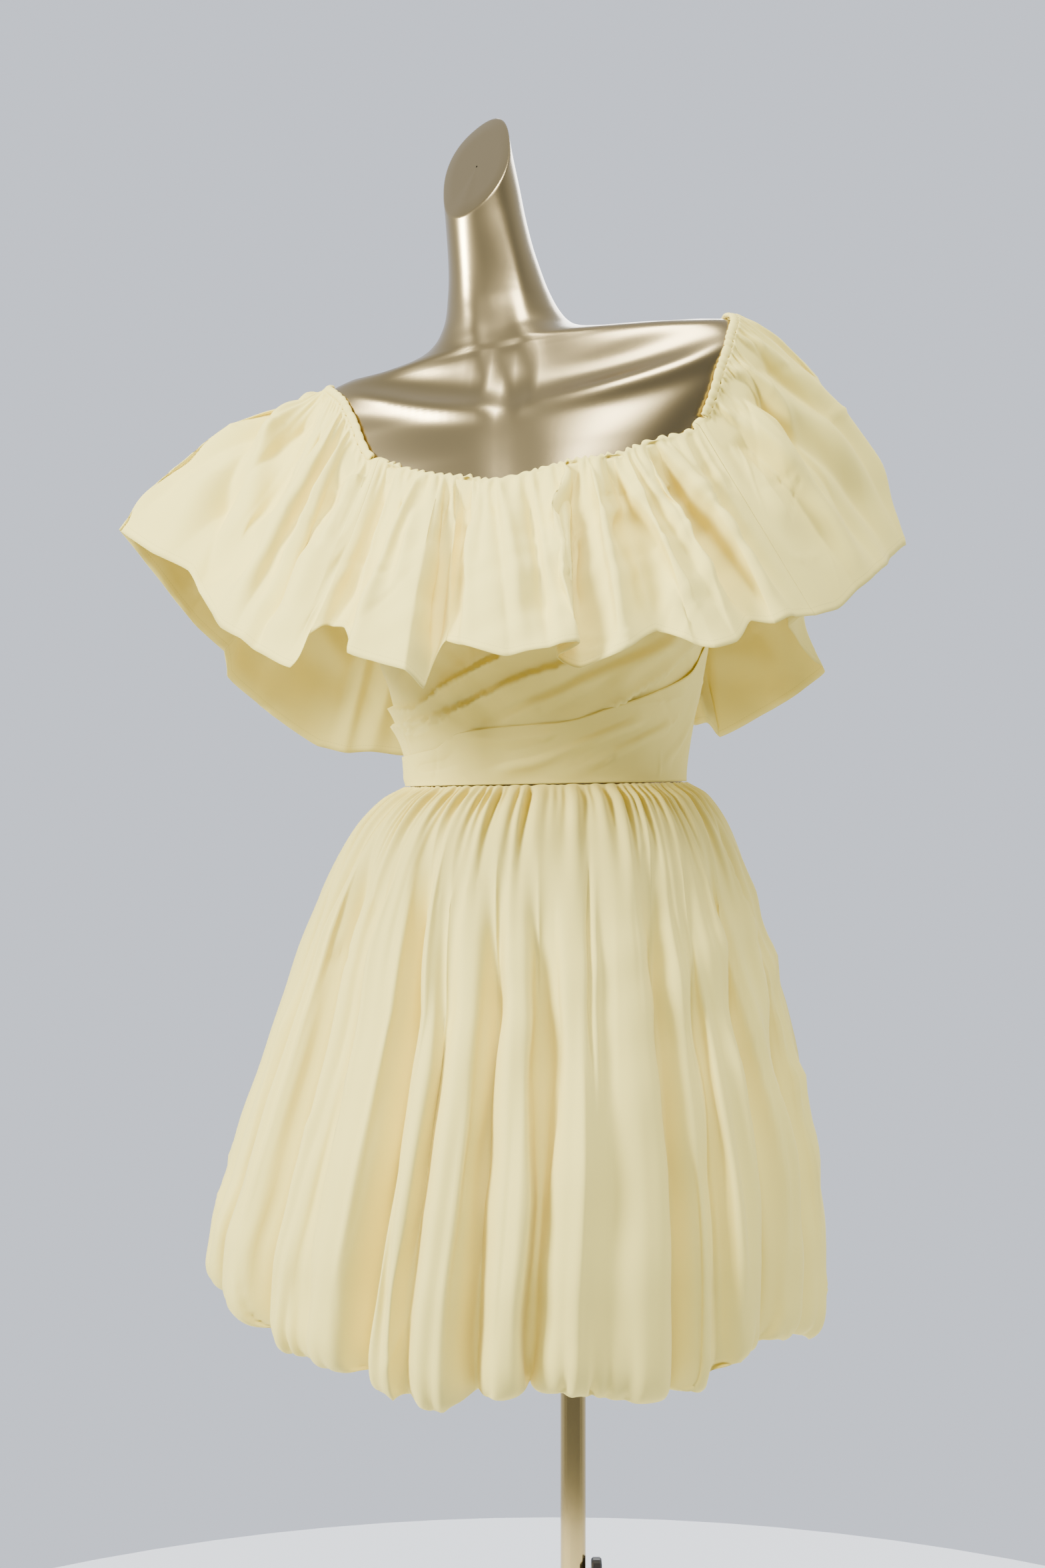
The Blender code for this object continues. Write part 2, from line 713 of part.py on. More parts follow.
def ruffle_grid(folds, seat=0.0, clear=0.0):
    """Ruffle panel: straight lines run from the neckline to the folded hem, and arch up by
    4v(1 - v) times the fold's own arch. It starts the seat's distance down from the neckline,
    and clears the form by that much more."""
    table = np.array(folds, float)
    index = np.arange(len(table))
    steps = np.linspace(0, len(table) - 1, (len(table) - 1) * RUFFLE_STEPS + 1)
    neck = np.interp(steps, index, table[:, 0])
    turn = np.radians(table[:, 1])
    corners = np.stack((
        RUFFLE_CENTRE_X + table[:, 2] * np.sin(turn),
        -table[:, 2] * np.cos(turn),
        table[:, 3],
    ), axis=-1)
    hem = np.stack([smooth(steps, index, corners[:, i]) for i in range(3)], axis=-1)
    arch = smooth(steps, index, table[:, 4])
    point, _, across = neck_frame(neck, RUFFLE_SEAT + clear)
    start = point + across * seat
    fall = hem - start
    length = np.linalg.norm(fall, axis=-1, keepdims=True)
    up = np.array((0.0, 0.0, 1.0)) - fall * fall[:, 2:3] / length ** 2
    up /= np.linalg.norm(up, axis=-1, keepdims=True)
    gather = np.where(np.arange(len(steps)) % 2 == 0, 0.0, RUFFLE_GATHER)
    rows = []
    for v in RUFFLE_ROWS:
        fade = max(0.0, 1.0 - v / RUFFLE_GATHER_FADE)
        lift = arch * 4 * v * (1 - v) + gather * fade
        rows.append(start + fall * v + up * lift[:, None])
    return np.array(rows)[::-1]


def build_casing(name, span, part):
    """Elastic roll along the neckline: a flat oval whose size swells and narrows with each
    small gather."""
    stations = CASING_RIDGES * 2 + 1
    marks = np.linspace(span[0], span[1], stations)
    path, normal, across = neck_frame(marks, CASING_LIFT)
    swell = np.where(np.arange(stations) % 2 == 0, -CASING_RIDGE, CASING_RIDGE) / 2
    turns = np.arange(CASING_SIDES) * 2 * math.pi / CASING_SIDES
    wide = (CASING_HALF_WIDTH + swell)[:, None] * np.cos(turns)
    thick = (CASING_HALF_THICK + swell)[:, None] * np.sin(turns)
    grid = path[:, None] + across[:, None] * wide[..., None] + normal[:, None] * thick[..., None]
    faces = grid_faces(stations, CASING_SIDES, closed=True, flip=True)
    faces.append(tuple(range(CASING_SIDES)))
    faces.append(tuple((stations - 1) * CASING_SIDES + j for j in range(CASING_SIDES))[::-1])
    add_mesh(name, world(grid), faces, YELLOW_COTTON, part)


def build_dress(part):
    build_bodice_front(part)
    build_wrap(part)
    build_bodice_back(part)
    add_cloth("skirt_front", skirt_grid(SKIRT_FRONT_FOLDS), part)
    add_cloth("skirt_back", skirt_grid(SKIRT_BACK_FOLDS), part)
    add_cloth("sleeve_flounce_left", ruffle_grid(SLEEVE_LEFT_FOLDS, SLEEVE_SEAT, SLEEVE_LIFT), part)
    add_cloth("flounce_front", ruffle_grid(FLOUNCE_FRONT_FOLDS), part)
    add_cloth("sleeve_flounce_right", ruffle_grid(SLEEVE_RIGHT_FOLDS, SLEEVE_SEAT, SLEEVE_LIFT), part)
    add_cloth("flounce_back", ruffle_grid(FLOUNCE_BACK_FOLDS), part)
    build_casing("neck_casing_left", CASING_LEFT, part)
    build_casing("neck_casing_right", CASING_RIGHT, part)


def main():
    clear_scene()
    part = bpy.data.collections.new("off_shoulder_dress_on_form")
    bpy.context.scene.collection.children.link(part)
    build_stand(part)
    build_form(part)
    build_dress(part)


main()
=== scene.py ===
"""Off-shoulder dress with a deep ruffle and a bubble skirt, on a limbless dress form.

The file is laid out as a Blender add-on and is run as a script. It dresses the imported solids
with gathered, creased cotton, a satin gold form and a polished stand. Tables are in
millimetres and degrees, with heights counted from the waist seam; pieces are in metres.
"""

import math

import bpy
import numpy as np
from bpy.props import FloatProperty, FloatVectorProperty, PointerProperty
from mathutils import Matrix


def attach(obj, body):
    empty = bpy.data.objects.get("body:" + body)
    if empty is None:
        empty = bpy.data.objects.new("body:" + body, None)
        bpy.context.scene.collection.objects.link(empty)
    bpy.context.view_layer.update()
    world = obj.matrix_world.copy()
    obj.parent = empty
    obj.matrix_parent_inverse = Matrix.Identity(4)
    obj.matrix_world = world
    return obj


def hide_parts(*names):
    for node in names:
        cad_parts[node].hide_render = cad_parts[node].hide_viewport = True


bl_info = {
    "name": "Off-shoulder Dress on a Form",
    "version": (1, 0, 0),
    "blender": (4, 5, 0),
    "location": "View3D > Sidebar > Dress",
    "description": "Builds the cloth, the finishes and the stage of a ruffled dress on a form",
    "category": "Object",
}

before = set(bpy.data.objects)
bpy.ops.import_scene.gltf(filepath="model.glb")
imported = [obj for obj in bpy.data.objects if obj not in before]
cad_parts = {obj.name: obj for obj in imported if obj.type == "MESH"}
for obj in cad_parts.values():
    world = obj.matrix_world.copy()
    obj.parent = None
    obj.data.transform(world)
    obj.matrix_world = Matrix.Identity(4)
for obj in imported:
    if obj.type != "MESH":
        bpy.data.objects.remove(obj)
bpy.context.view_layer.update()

MM = 0.001
WAIST_Z = 1.060
DRESSED = "dressed_form"

# Sections of the dress form: height, centre x, centre y, half width, front, back, roll, turn
FORM_SECTIONS = (
    (-262, -6, 5, 130, 76, 88, 0, 0), (-235, -8, 5, 142, 86, 98, 0, 0),
    (-180, -12, 5, 150, 92, 105, 0, 0), (-100, -18, 3, 138, 89, 96, 0.3, 0),
    (-40, -22, 1, 121, 81, 81, 0.7, -1), (0, -23.5, 0, 117, 79, 77, 1, -2),
    (40, -24, 0, 122, 83, 79, 1.5, -3), (80, -24.5, 0, 131, 92, 84, 2.2, -4),
    (130, -27, 0, 142, 106, 89, 3.2, -6), (180, -31, 0, 151, 117, 93, 4.5, -8),
    (230, -35, 0, 162, 113, 97, 5.8, -10), (275, -37, 0, 180, 97, 99, 6.8, -12),
    (315, -37, 0, 196, 77, 95, 7.4, -13), (338, -36, 1, 199, 66, 88, 7.6, -13),
    (354, -36, 2, 193, 61, 82, 7.6, -13), (366, -37, 3, 183, 57, 76, 7.6, -13),
    (371, -39, 4, 167, 55, 72, 7.6, -13), (374, -43, 4, 130, 54, 68, 7.8, -13),
    (377, -49, 5, 94, 52, 62, 7.8, -12), (382, -54, 6, 72, 50, 57, 7.0, -11),
    (390, -57.5, 7, 59, 47, 51, 5.6, -9), (403, -60, 8, 50.5, 44, 47, 3.6, -7),
    (418, -63, 9, 45.5, 41, 44, 1.8, -6), (438, -66.5, 10, 41, 39, 41, 0, -5),
    (470, -72.5, 11, 36.5, 37, 39, 0, -5), (505, -78, 12, 34, 35, 38, 0, -5),
    (590, -89, 14, 31.5, 33, 36, 0, -5),
)
SECTION_POWER = 0.87
NECK_FOOT = 438
NECK_TOP = (-63.0, 40.0, 588.0)
NECK_FLAT = (-0.50, -0.68, 0.54)
WAIST_ROLL, WAIST_TURN = 1.0, -2.0
# Rings that close the form's two ends: share of the end's size, and rise
CAP_RINGS = ((0.985, 0.5), (0.95, 0.9), (0.7, 0.9), (0.35, 0.9), (0.02, 0.9))

# Soft relief on the form's chest: start, middle and end as x and height, depth and spread
FORM_RELIEF = (
    (-66, 309, -125, 311, -205, 338, 5.0, 10),
    (-44, 311, 40, 322, 135, 366, 5.0, 10),
    (-90, 338, -140, 340, -190, 356, -4.0, 15),
    (-14, 341, 50, 354, 110, 380, -4.0, 15),
    (-55, 308, -56, 330, -58, 352, -5.0, 9),
    (-70, 305, -88, 370, -100, 480, 1.8, 10),
    (-42, 307, -38, 370, -54, 480, 1.8, 10),
    (-55, 300, -50, 260, -46, 205, -2.0, 20),
)

# Skirt sections, waist seam to the cloth turned up inside the hem:
# drop, centre x, half width, front, back, share of the fold depth
SKIRT_SECTIONS = (
    (0.2, -23.5, 121.5, 84.5, 82.0, 0.00), (3.5, -24, 128, 92, 90, 0.06),
    (9, -24.5, 138, 104, 102, 0.12), (28, -27, 156, 122, 121, 0.28),
    (62, -30, 175, 143, 143, 0.47), (120, -34, 196, 168, 169, 0.68),
    (215, -38, 225, 207, 206, 0.88), (325, -44, 254, 249, 243, 1.00),
    (385, -49, 265, 265, 256, 1.00), (430, -51, 267, 268, 258, 1.00),
    (449, -51, 263, 264, 254, 0.97), (456, -51, 254, 256, 246, 0.90),
    (450, -51, 245, 247, 237, 0.82), (425, -51, 239, 241, 231, 0.78),
    (390, -50, 236, 238, 228, 0.76),
)
HEM_DROP = 456
LIFT_START = 325
WAIST_FADE = 180.0
SWING_DROP = 300.0
# Skirt folds: angle at the waist, angle at the hem, inset, depth of the hem below the waist,
# and the drop at which the fold begins
SKIRT_FRONT_FOLDS = (
    (-90, -90, 3, 432, 0), (-80, -83, 2, 424, 0), (-73, -76, 12, 414, 60), (-67, -71, 2, 414, 0),
    (-62, -66, 22, 416, 0), (-59, -59, 0, 426, 0), (-54, -51.5, 38, 438, 40),
    (-49, -45, 3, 443, 0), (-43, -39, 12, 445, 60), (-36, -33, 0, 446, 0),
    (-29, -27, 36, 450, 30), (-24, -22.8, 4, 459, 0), (-20, -19, 20, 461, 120),
    (-15, -14, 0, 468, 0), (-9.5, -7, 38, 460, 90), (-5.5, -1.5, 0, 457, 0),
    (-1, 3.4, 32, 449, 90), (7, 10, 0, 456, 0), (15, 16, 8, 462, 0), (22, 23, 0, 465, 0),
    (31, 30.5, 30, 463, 60), (36, 35, 4, 465, 0), (41, 39.5, 16, 458, 90), (48, 44, 0, 448, 0),
    (60, 50, 24, 440, 30), (67, 58, 0, 440, 0), (74, 66.5, 26, 448, 0), (82, 78, 2, 462, 0),
    (90, 90, 3, 458, 0),
)
SKIRT_BACK_FOLDS = (
    (90, 90, 3, 458, 0), (97, 99, 2, 450, 0), (105, 107, 26, 444, 30), (112, 113, 2, 448, 0),
    (118, 118, 14, 450, 90), (125, 126, 0, 452, 0), (133, 134, 34, 450, 20),
    (140, 141, 0, 448, 0), (146, 146, 16, 450, 110), (153, 154, 0, 454, 0),
    (161, 162, 38, 456, 30), (168, 169, 2, 458, 0), (174, 174, 18, 458, 80),
    (181, 182, 0, 456, 0), (190, 190, 34, 452, 20), (197, 198, 0, 450, 0),
    (204, 204, 14, 450, 120), (211, 212, 0, 452, 0), (219, 220, 36, 452, 40),
    (226, 227, 2, 450, 0), (232, 232, 16, 448, 90), (240, 241, 0, 444, 0),
    (249, 249, 28, 440, 30), (255, 256, 0, 436, 0), (262, 262, 2, 434, 0), (270, 270, 3, 432, 0),
)
FOLD_SHARPNESS = 1.9
FOLD_PINCH = 0.07
SKIRT_STEPS = 16
SKIRT_ROWS = 104
WAIST_GATHERS = 60
HEM_TUCKS = 38
TUCK_DEPTH = 6.0
LONG_FOLDS = 130
LONG_FOLD_DEPTH = 3.6
SKIRT_CREASES = 90

# Neckline as it lies on the form: mark along it, angle on the form, height on the form
NECKLINE = (
    (-134, -124, 292), (-122, -121, 318), (-108, -112, 350), (-97, -100, 365),
    (-88, -84, 368), (-80, -66, 363), (-72, -50, 348), (-66, -42.5, 324),
    (-60, -37.5, 291), (-50, -30, 278), (-38, -21, 266), (-25, -11, 257),
    (-10, -1, 249.5), (5, 10.5, 255), (18, 18.5, 257.5), (30, 27, 258),
    (42, 38, 266), (55, 55, 275), (61, 57, 292), (67, 57.5, 316),
    (74, 60, 340), (82, 70, 360), (90, 84, 369), (98, 98, 370),
    (107, 112, 360), (116, 122, 334), (124, 128, 304), (140, 148, 284),
    (160, 167, 272), (180, 186, 268), (200, 204, 270), (215, 222, 280),
    (226, 236, 292),
)
RUFFLE_CENTRE_X = -40
# Ruffle folds: mark at the neckline, then angle, reach and height of the hem, and the arch
SLEEVE_LEFT_FOLDS = (
    (-123, -111.6, 297, 121, 0), (-112, -103, 310, 148, 14), (-103, -97, 333, 188, 16),
    (-95, -93, 358, 223, 18), (-90, -87, 320, 197, 20), (-85, -81.5, 290, 181, 12),
    (-80, -74.5, 280, 156, -12), (-74, -64, 273, 125, 12), (-69, -58, 268, 115, 0),
    (-64, -53, 265, 104, 8), (-59, -43.8, 265, 90, 4), (-56.3, -42.9, 249, 117, -4),
)
FLOUNCE_FRONT_FOLDS = (
    (-56.2, -42.8, 249, 117, -4), (-51, -42.6, 230, 125, -6), (-47, -39.5, 226, 124, -4),
    (-42, -33.5, 246, 99, 8), (-36, -28, 250, 94, 4), (-31, -21.5, 253, 86, 8),
    (-27, -19.4, 238, 72, 4), (-24, -18.8, 220, 96, -8), (-21, -17.2, 207, 109, -8),
    (-16, -13, 229, 106, 6), (-9, -4, 247, 96, 10), (0, 3, 247, 101, 0), (8, 8.8, 242, 106, 8),
    (12, 7.6, 212, 97, -8), (16, 10.2, 224, 89, -4), (21, 16.5, 247, 98, 8),
    (30, 26, 228, 118, -8), (34, 30, 253, 108, 8), (37, 33, 262, 104, 2), (40, 38, 263, 110, 8),
    (43, 45, 248, 128, -12), (47, 47, 264, 126, 6), (51.5, 51.5, 269, 133, -2),
    (56.4, 57.8, 270.5, 134, 0),
)
SLEEVE_RIGHT_FOLDS = (
    (56.5, 57.9, 270.5, 134, 0), (62, 66, 274, 141, 10), (68, 72, 287, 160, 12),
    (75, 78, 299, 177, 6), (83, 84.5, 312, 191, 22), (90, 90, 326, 206, 26),
    (99, 94, 300, 192, 26), (108, 99, 262, 164, 14), (116.4, 104.2, 240, 140, 2),
)
FLOUNCE_BACK_FOLDS = (
    (116.5, 104.3, 240, 140, 2), (122, 108, 273, 112, 8), (127, 110.5, 290, 102, 4),
    (132, 117, 282, 84, 0), (137, 125, 280, 69, 8), (142, 136, 265, 45, 4),
    (145, 135, 240, 58, -8), (149, 139, 245, 56, 4), (154, 146, 214, 65, -8),
    (159, 151, 234, 47, 6), (165, 159, 205, 59, -8), (171, 167, 225, 41, 6),
    (177, 175, 195, 55, -8), (182, 182, 219, 37, 6), (187, 190, 199, 49, -8),
    (192, 197, 227, 33, 6), (197, 203, 211, 43, -8), (202, 210, 235, 28, 6),
    (207, 217, 246, 31, -2), (213, 220, 263, 30, 4), (219, 225, 282, 36, 6),
    (226, 236, 305, 76, 2), (232, 245, 305, 100, 6), (237, 248.4, 297, 121, 0),
)
# Long creases of the ruffle: mark at the neckline and at the hem, depth, width at each end
SLEEVE_LEFT_CREASES = (
    (-97, -82, 14, 1.8, 3.4), (-62, -66, 11, 1.0, 2.0), (-72, -77, 10, 1.4, 2.6),
    (-80, -88, 8, 1.2, 2.4), (-90, -94, 6, 1.2, 2.6), (-67, -71.5, 7, 0.8, 1.8),
    (-104, -100, 5, 1.0, 2.2), (-112, -112, 5, 1.0, 2.2),
)
FLOUNCE_FRONT_CREASES = (
    (-40, -46, 11, 1.3, 2.2), (6, 12, 12, 1.3, 2.4), (42, 46, 12, 1.5, 2.4),
    (28, 35, 6, 0.9, 1.6), (-28, -24, 7, 0.8, 1.6), (-12, -8, 5, 0.8, 2.0),
    (-20, -17, 6, 0.7, 1.4), (19, 20, 6, 0.8, 1.6), (51.5, 52, 6, 0.9, 1.8),
    (-50, -50, 6, 0.9, 1.8), (-4, 1, 5, 0.8, 1.6), (35, 40, 5, 0.7, 1.4),
)
SLEEVE_RIGHT_CREASES = (
    (66, 84, 13, 1.8, 3.4), (60, 68, 8, 1.1, 2.2), (76, 89, 9, 1.4, 2.8), (86, 95, 5, 0.9, 2.0),
    (100, 103, 6, 0.9, 2.0), (71, 76, 5, 0.8, 1.8),
)
FLOUNCE_BACK_CREASES = (
    (125, 127, 6, 0.9, 1.8), (136, 142, 7, 0.9, 1.8), (150, 151, 6, 0.8, 1.6),
    (163, 165, 7, 0.9, 1.8), (176, 177, 6, 0.8, 1.8), (190, 187, 7, 0.9, 1.8),
    (203, 202, 6, 0.8, 1.6), (215, 214, 6, 0.9, 1.8), (226, 228, 6, 0.9, 2.0),
)
PUCKER_DEPTH = 3.8
RUFFLE_FOLD_DEPTH = 2.2
RUFFLE_CREASES = 46
# Deepest dent of the ruffle: at the neckline, per millimetre of run, and more from 70 mm on
DENT_LIMIT = (2.2, 0.1, 14.0)
RUFFLE_ROWS = 62
RUFFLE_ROLL = 2.8
RUFFLE_SEAT = 3.7
SLEEVE_SEAT = 4.6
SLEEVE_LIFT = 1.4
HEM_TURN = 8.0

# Edges on the bodice as angle and height
BODICE_TOP = (
    (-90, 196), (-74, 212), (-52, 256), (-37.5, 282), (-30, 276), (-21, 265), (-11, 256),
    (-1, 248.5), (10.5, 254), (18.5, 256.5), (27, 257), (38, 265), (55, 274), (66, 250),
    (78, 214), (90, 200),
)
BACK_TOP = (
    (90, 200), (106, 214), (122, 262), (134, 289), (148, 283), (167, 271), (186, 267),
    (204, 269), (222, 279), (234, 287), (246, 259), (258, 212), (270, 196),
)
WRAP_TOP = (
    (-90, 26), (-80, 26), (-44, 31), (-30, 44), (-14, 47.5), (5, 50), (25, 62), (62, 86),
    (90, 116),
)
# Steps where one pleat lies over the next: which side stands proud (-1 below the line, +1
# above it), rise, reach of the raised side, first and last angle, and the line itself
BODICE_STEPS = (
    (-1, 5.6, 16, -92, 22, ((-84, 70), (-51, 67.5), (-17, 98.5), (0.5, 118.5), (30, 150))),
    (-1, 5.0, 13, -92, 20, ((-84.5, 53), (-44, 57), (-26.5, 66.5), (6.5, 98), (30, 120))),
    (1, 5.6, 26, 20, 92, ((10, 52), (25.5, 61), (44, 82), (62.5, 107), (78, 124), (90, 134))),
    (-1, 3.2, 9, -70, -26, ((-70, 47), (-50, 47), (-36, 56), (-26, 64))),
)
# Soft folds pressed into the bodice: depth (a ridge is positive), half width, and the line
BODICE_FOLDS = (
    (2.6, 6, ((-13, 50), (1, 68), (21, 90), (55, 113))),
    (-2.6, 5, ((-22, 52), (-8, 64), (12, 88), (40, 112))),
    (2.0, 6, ((-40, 76), (-20, 100), (-4, 122), (10, 140))),
    (-2.2, 6, ((-60, 80), (-36, 96), (-18, 120), (0, 146))),
    (2.0, 7, ((20, 74), (40, 100), (58, 128), (74, 150))),
    (-2.0, 6, ((-70, 96), (-50, 110), (-30, 134), (-14, 160))),
    (1.6, 6, ((-80, 60), (-60, 58), (-44, 52), (-34, 46))),
)
WRAP_FOLDS = (
    (-2.6, 4.2, ((-20, 19), (-3, 26), (6, 37), (22, 48), (34, 58))),
    (-2.4, 4.0, ((8, 14), (21, 31), (34, 40), (52, 52))),
    (-1.8, 4.0, ((28, 19), (43, 31), (56, 30))),
    (2.2, 4.5, ((-16, 12), (-2, 17), (9, 29), (25, 42), (40, 50))),
    (1.8, 4.0, ((14, 12), (28, 26), (42, 38), (60, 50))),
    (1.6, 4.0, ((-28, 41), (-10, 36), (6, 42))),
    (-1.5, 4.0, ((-60, 14), (-40, 18), (-26, 27))),
    (1.5, 5.0, ((50, 14), (64, 28), (80, 60))),
    (-1.4, 5.0, ((58, 12), (72, 30), (86, 62))),
)
BODICE_FOOT = 0.2
BUST_EASE = 4.2
BUST_HEIGHT = 205
BUST_SPREAD = (60, 28)
SKIN_GAP = 1.0
WALL = 1.2

CASING_LEFT = (-121.5, -59.0)
CASING_RIGHT = (59.0, 116.5)
CASING_HALF_WIDTH = 3.5
CASING_HALF_THICK = 2.0
CASING_SWELL = (1.1, 0.9)
CASING_LIFT = 3.2

# Stitch line above the ruffle's hem and thread scales of the weave, in metres and per metre
STITCH_HEIGHT = 0.0070
STITCH_HALF_WIDTH = 0.00035
STITCH_LENGTH = 0.0027
STITCH_SHARE = 0.72
WEAVE_FINE, WEAVE_LONG = 3200.0, 500.0

# Camera, floor and lights in metres: name, place, aim, size, share of the key light's power
CAMERA_PLACE = (-0.0437, -1.85, 1.06)
FLOOR_RADIUS = 1.25
LAMP_COLOUR = (0.93, 0.96, 1.0)
LAMPS = (
    ("key_left", (-2.3, -1.3, 2.2), (-0.05, 0.0, 1.0), 0.8, 1.15),
    ("key_top", (0.1, -1.1, 3.0), (-0.05, 0.0, 1.0), 0.9, 0.42),
    ("side_right", (2.6, -0.5, 1.6), (-0.05, 0.0, 1.0), 0.7, 0.20),
    ("rim_back", (0.6, 2.2, 2.4), (0.0, 0.0, 1.1), 1.4, 0.30),
)
AHEAD_TONE = (0.24, 0.26, 0.30, 1.0)
BEHIND_TONE = (0.80, 0.85, 0.96, 1.0)


class DressSizes(bpy.types.PropertyGroup):
    """Sizes of the cloth."""

    cloth_thickness: FloatProperty(
        name="Cloth thickness", description="Thickness of the cotton",
        default=0.0005, min=0.0002, max=0.002, unit="LENGTH")
    gather_depth: FloatProperty(
        name="Gather depth", description="Depth of the gathers at the waist seam",
        default=0.0062, min=0.0, max=0.010, unit="LENGTH")
    crease_depth: FloatProperty(
        name="Crease depth", description="Depth of the pressed creases",
        default=0.0015, min=0.0, max=0.003, unit="LENGTH")
    relief: FloatProperty(
        name="Collarbone relief", description="Strength of the relief on the form's chest",
        default=1.0, min=0.0, max=2.0, subtype="FACTOR")


class DressColours(bpy.types.PropertyGroup):
    """Colours and finishes."""

    cotton: FloatVectorProperty(
        name="Cotton", description="Colour of the dress", subtype="COLOR", size=3,
        default=(0.89, 0.74, 0.19), min=0.0, max=1.0)
    form_gold: FloatVectorProperty(
        name="Form", description="Satin paint of the dress form", subtype="COLOR", size=3,
        default=(0.36, 0.27, 0.125), min=0.0, max=1.0)
    pole_gold: FloatVectorProperty(
        name="Pole", description="Polished plating of the stand", subtype="COLOR", size=3,
        default=(0.52, 0.38, 0.14), min=0.0, max=1.0)
    floor: FloatVectorProperty(
        name="Floor", description="Colour of the floor", subtype="COLOR", size=3,
        default=(0.90, 0.91, 0.93), min=0.0, max=1.0)
    form_roughness: FloatProperty(
        name="Form roughness", description="How satin the form's paint is",
        default=0.27, min=0.05, max=1.0, subtype="FACTOR")


class DressStage(bpy.types.PropertyGroup):
    """Camera and lights."""

    lens: FloatProperty(
        name="Lens", description="Focal length of the camera", default=49.24, min=20.0,
        max=120.0, unit="CAMERA")
    key_power: FloatProperty(
        name="Key light", description="Power of the large soft light", default=176.0,
        min=0.0, max=400.0, unit="POWER")
    surround: FloatProperty(
        name="Surround", description="Strength of the light from all sides",
        default=1.08, min=0.0, max=3.0)


def smooth(at, rows, values):
    """Cubic through the table's points, level at both ends, that never overshoots them."""
    rows = np.asarray(rows, float)
    values = np.asarray(values, float)
    step = np.diff(rows)
    rise = np.diff(values) / step
    pair = rise[:-1] * rise[1:]
    total = np.where(pair > 0, rise[:-1] + rise[1:], 1.0)
    slope = np.concatenate(([0.0], np.where(pair > 0, 2 * pair / total, 0.0), [0.0]))
    at = np.clip(at, rows[0], rows[-1])
    k = np.clip(np.searchsorted(rows, at, side="right") - 1, 0, len(step) - 1)
    t = (at - rows[k]) / step[k]
    start = values[k] + step[k] * slope[k] * t * (1 - t) ** 2
    end = step[k] * slope[k + 1] * t * t * (t - 1)
    return start + end + (values[k + 1] - values[k]) * t * t * (3 - 2 * t)


def from_table(table, column, at):
    """Smooth reading of one column of a table whose first column is the position."""
    return smooth(at, [row[0] for row in table], [row[column] for row in table])


def ramp(value, start, end):
    """0 before start, 1 after end, and the cubic 3t^2 - 2t^3 between them."""
    t = np.clip((value - start) / (end - start), 0.0, 1.0)
    return t * t * (3 - 2 * t)


def side_fade(position, width):
    """Rises from 0 over the width at either side of the last axis."""
    first, last = position[..., :1], position[..., -1:]
    return ramp(position, first, first + width) * ramp(-position, -last, width - last)


def signed_power(value, power):
    """The value's size raised to a power, with its sign kept."""
    return np.sign(value) * np.abs(value) ** power


def oval(angle, centre_x, centre_y, half, front, back, height, roll, turn, power):
    """Point on a rounded oval: half width times sine^power across, depth times cosine^power
    along, turned about Z by the turn and then rolled about Y by the roll."""
    side = half * signed_power(np.sin(np.radians(angle)), power)
    depth = -signed_power(np.cos(np.radians(angle)), power)
    depth = depth * np.where(depth < 0, front, back)
    roll, turn = np.radians(roll), np.radians(turn)
    across = side * np.cos(turn) - depth * np.sin(turn)
    along = side * np.sin(turn) + depth * np.cos(turn)
    return np.stack(np.broadcast_arrays(
        centre_x + across * np.cos(roll), centre_y + along, height + across * np.sin(roll),
    ), axis=-1)


def skin(angle, height, grow=0.0):
    """Point on the dress form at an angle (0 front, 90 toward +X) and a height, with its
    section grown by the same amount all round."""
    angle, height, grow = np.broadcast_arrays(angle, height, grow)
    centre_x, centre_y, half, front, back, roll, turn = (
        from_table(FORM_SECTIONS, column, height) for column in range(1, 8)
    )
    return oval(angle, centre_x, centre_y, half + grow, front + grow, back + grow,
                height, roll, turn, SECTION_POWER)


def unit(vectors):
    """Each vector divided by its own length."""
    return vectors / np.maximum(np.linalg.norm(vectors, axis=-1, keepdims=True), 1e-9)


def skin_normal(angle, height):
    """Outward direction of the form's skin: its slope round times its slope upward."""
    around = skin(angle + 2.0, height) - skin(angle - 2.0, height)
    upward = skin(angle, height + 4.0) - skin(angle, height - 4.0)
    return unit(np.cross(around, upward))


def grid_normals(grid, closed=False):
    """Outward direction at each point of a grid whose rows run upward and whose columns run
    toward +X on the front: the slope along the columns times the slope along the rows."""
    if closed:
        along = np.roll(grid, -1, axis=1) - np.roll(grid, 1, axis=1)
    else:
        along = np.gradient(grid, axis=1)
    return unit(np.cross(along, np.gradient(grid, axis=0)))


def pushed_out(grid, move, closed=False):
    """The grid with each point moved out along its normal."""
    return grid + grid_normals(grid, closed) * move[..., None]


def cloth_runs(grid):
    """Distances in the cloth: along each row from its first column, and along each column
    from its last row, as running sums."""
    across = np.linalg.norm(np.diff(grid, axis=1), axis=-1)
    upward = np.linalg.norm(np.diff(grid, axis=0), axis=-1)
    run = np.concatenate((np.zeros((grid.shape[0], 1)), np.cumsum(across, axis=1)), axis=1)
    sums = np.cumsum(upward[::-1], axis=0)[::-1]
    return run, np.concatenate((sums, np.zeros((1, grid.shape[1]))))


def points_of(grid):
    """A grid in millimetres above the waist seam as points in metres above the floor."""
    return grid.reshape(-1, 3) * MM + (0.0, 0.0, WAIST_Z)


def crease_depth():
    """Depth of the pressed creases in millimetres."""
    return bpy.context.scene.dress_sizes.crease_depth / MM


